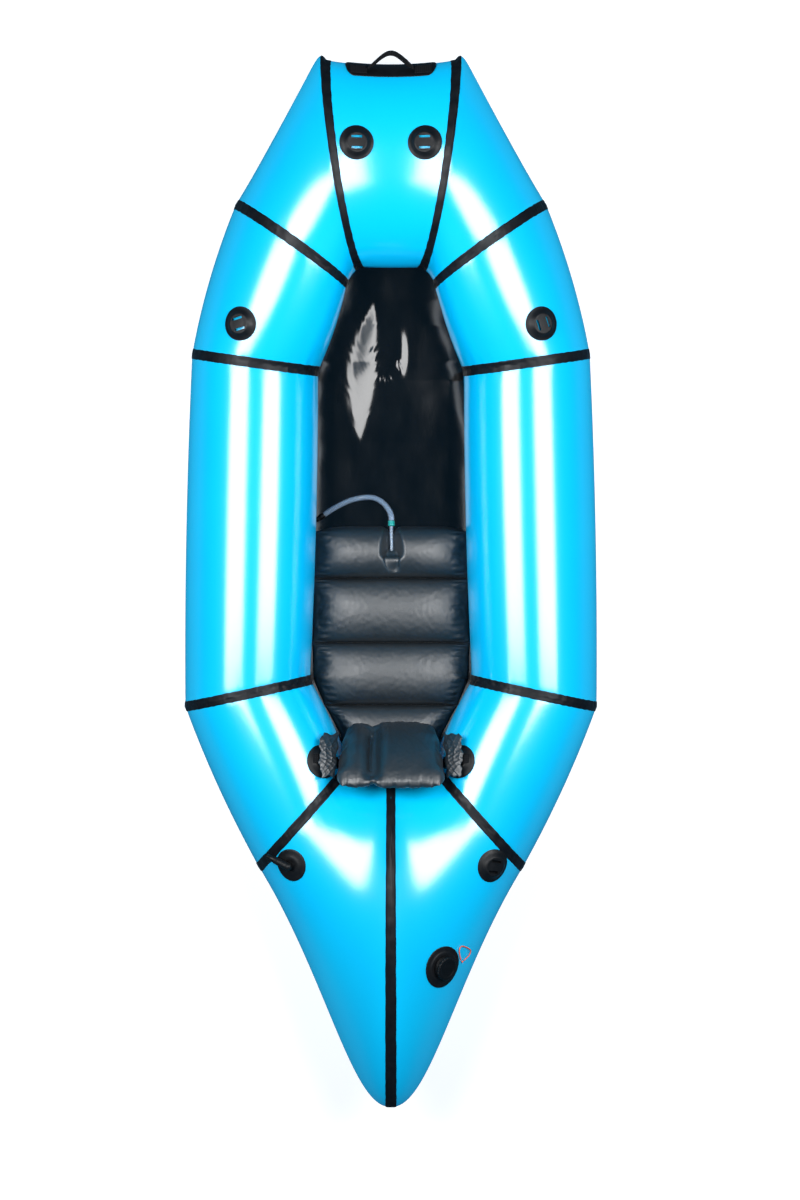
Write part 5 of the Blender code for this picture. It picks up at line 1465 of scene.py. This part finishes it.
def make_camera():
    data = bpy.data.cameras.new("camera")
    data.sensor_fit = "VERTICAL"
    data.sensor_height = 24
    data.lens = data.sensor_height * CAMERA_ABOVE_HULL / (1200 * PHOTO_SCALE)
    data.clip_end = 100
    camera = bpy.data.objects.new("camera", data)
    camera.location = CAMERA_PLACE
    bpy.context.scene.collection.objects.link(camera)
    bpy.context.scene.camera = camera


def area_light(name, place, target, size, power, colour=(1, 1, 1)):
    data = bpy.data.lights.new(name, "AREA")
    data.shape = "RECTANGLE"
    data.size, data.size_y = size
    data.energy = power
    data.color = colour
    light = bpy.data.objects.new(name, data)
    light.location = place
    aim = Vector(target) - Vector(place)
    light.rotation_euler = aim.to_track_quat("-Z", "Y").to_euler()
    bpy.context.scene.collection.objects.link(light)
    return light


def make_studio():
    scene = bpy.context.scene
    scene.view_settings.view_transform = "Standard"
    x, y, z = SOFTBOX_PLACE
    for side in (-1, 1):
        aim = (side * (x - math.cos(SOFTBOX_TILT)), y, z - math.sin(SOFTBOX_TILT))
        area_light(f"softbox_{side}", (side * x, y, z), aim, SOFTBOX_SIZE, SOFTBOX_POWER)
    world = bpy.data.worlds.new("studio")
    scene.world = world
    world.use_nodes = True
    tree = world.node_tree
    background = tree.nodes["Background"]
    background.inputs["Color"].default_value = ROOM_COLOUR
    background.inputs["Strength"].default_value = ROOM_STRENGTH
    white = tree.nodes.new("ShaderNodeBackground")
    white.inputs["Strength"].default_value = 1.0
    path = tree.nodes.new("ShaderNodeLightPath")
    mix = tree.nodes.new("ShaderNodeMixShader")
    tree.links.new(path.outputs["Is Camera Ray"], mix.inputs["Fac"])
    tree.links.new(background.outputs["Background"], mix.inputs[1])
    tree.links.new(white.outputs["Background"], mix.inputs[2])
    tree.links.new(mix.outputs["Shader"], tree.nodes["World Output"].inputs["Surface"])

    shape = bmesh.new()
    bmesh.ops.create_grid(shape, x_segments=8, y_segments=8, size=14)
    mesh = bpy.data.meshes.new("studio_floor")
    shape.to_mesh(mesh)
    shape.free()
    floor = bpy.data.objects.new("studio_floor", mesh)
    floor.location = (0, 0, -0.0012)
    scene.collection.objects.link(floor)
    paper = Finish("studio_paper", (0.62, 0.62, 0.63), 0.9, Specular_IOR_Level=0.0)
    paper.blend_colour(paper.noise(3.0), (0.64, 0.64, 0.64), 0.3, 0.7)
    tree = paper.tree
    glow = tree.nodes.new("ShaderNodeEmission")
    path = tree.nodes.new("ShaderNodeLightPath")
    seen = paper.math("MAXIMUM", path.outputs["Is Camera Ray"], path.outputs["Is Transmission Ray"])
    glossy = paper.math("MULTIPLY", path.outputs["Is Glossy Ray"], PAPER_GLOW_IN_GLOSS)
    seen = paper.math("MAXIMUM", seen, glossy)
    tree.links.new(paper.math("MULTIPLY", seen, PAPER_GLOW), glow.inputs["Strength"])
    mix = tree.nodes.new("ShaderNodeMix")
    mix.data_type = "RGBA"
    base = paper.shader.inputs["Base Color"]
    tree.links.new(path.outputs["Is Glossy Ray"], mix.inputs["Factor"])
    tree.links.new(base.links[0].from_socket, mix.inputs["A"])
    mix.inputs["B"].default_value = (0.03, 0.10, 0.16, 1)
    tree.links.new(mix.outputs["Result"], base)
    add = tree.nodes.new("ShaderNodeAddShader")
    tree.links.new(paper.shader.outputs["BSDF"], add.inputs[0])
    tree.links.new(glow.outputs["Emission"], add.inputs[1])
    tree.links.new(add.outputs["Shader"], tree.nodes["Material Output"].inputs["Surface"])
    mesh.materials.append(paper.material)


# Main

make_camera()
make_studio()
materials = make_materials()
panels = make_panels()
make_hull(panels, materials)
make_tapes(panels, materials)
skin = skin_tree(panels)
make_floor(panels, materials["floor"])
make_seat(materials["cushion"])
make_backrest(materials["cushion"])
make_backrest_straps(skin, materials)
make_patches(skin, materials["rubber"])
valve_spot = make_main_valve(skin, materials)
make_lanyard(skin, valve_spot, materials)
make_topoff(skin, materials)
make_hose(materials)
make_handle(panels["bow_panel"], materials)
under_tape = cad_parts["floor_seam_tape"]
under_tape.data.materials.clear()
under_tape.data.materials.append(materials["tape"])
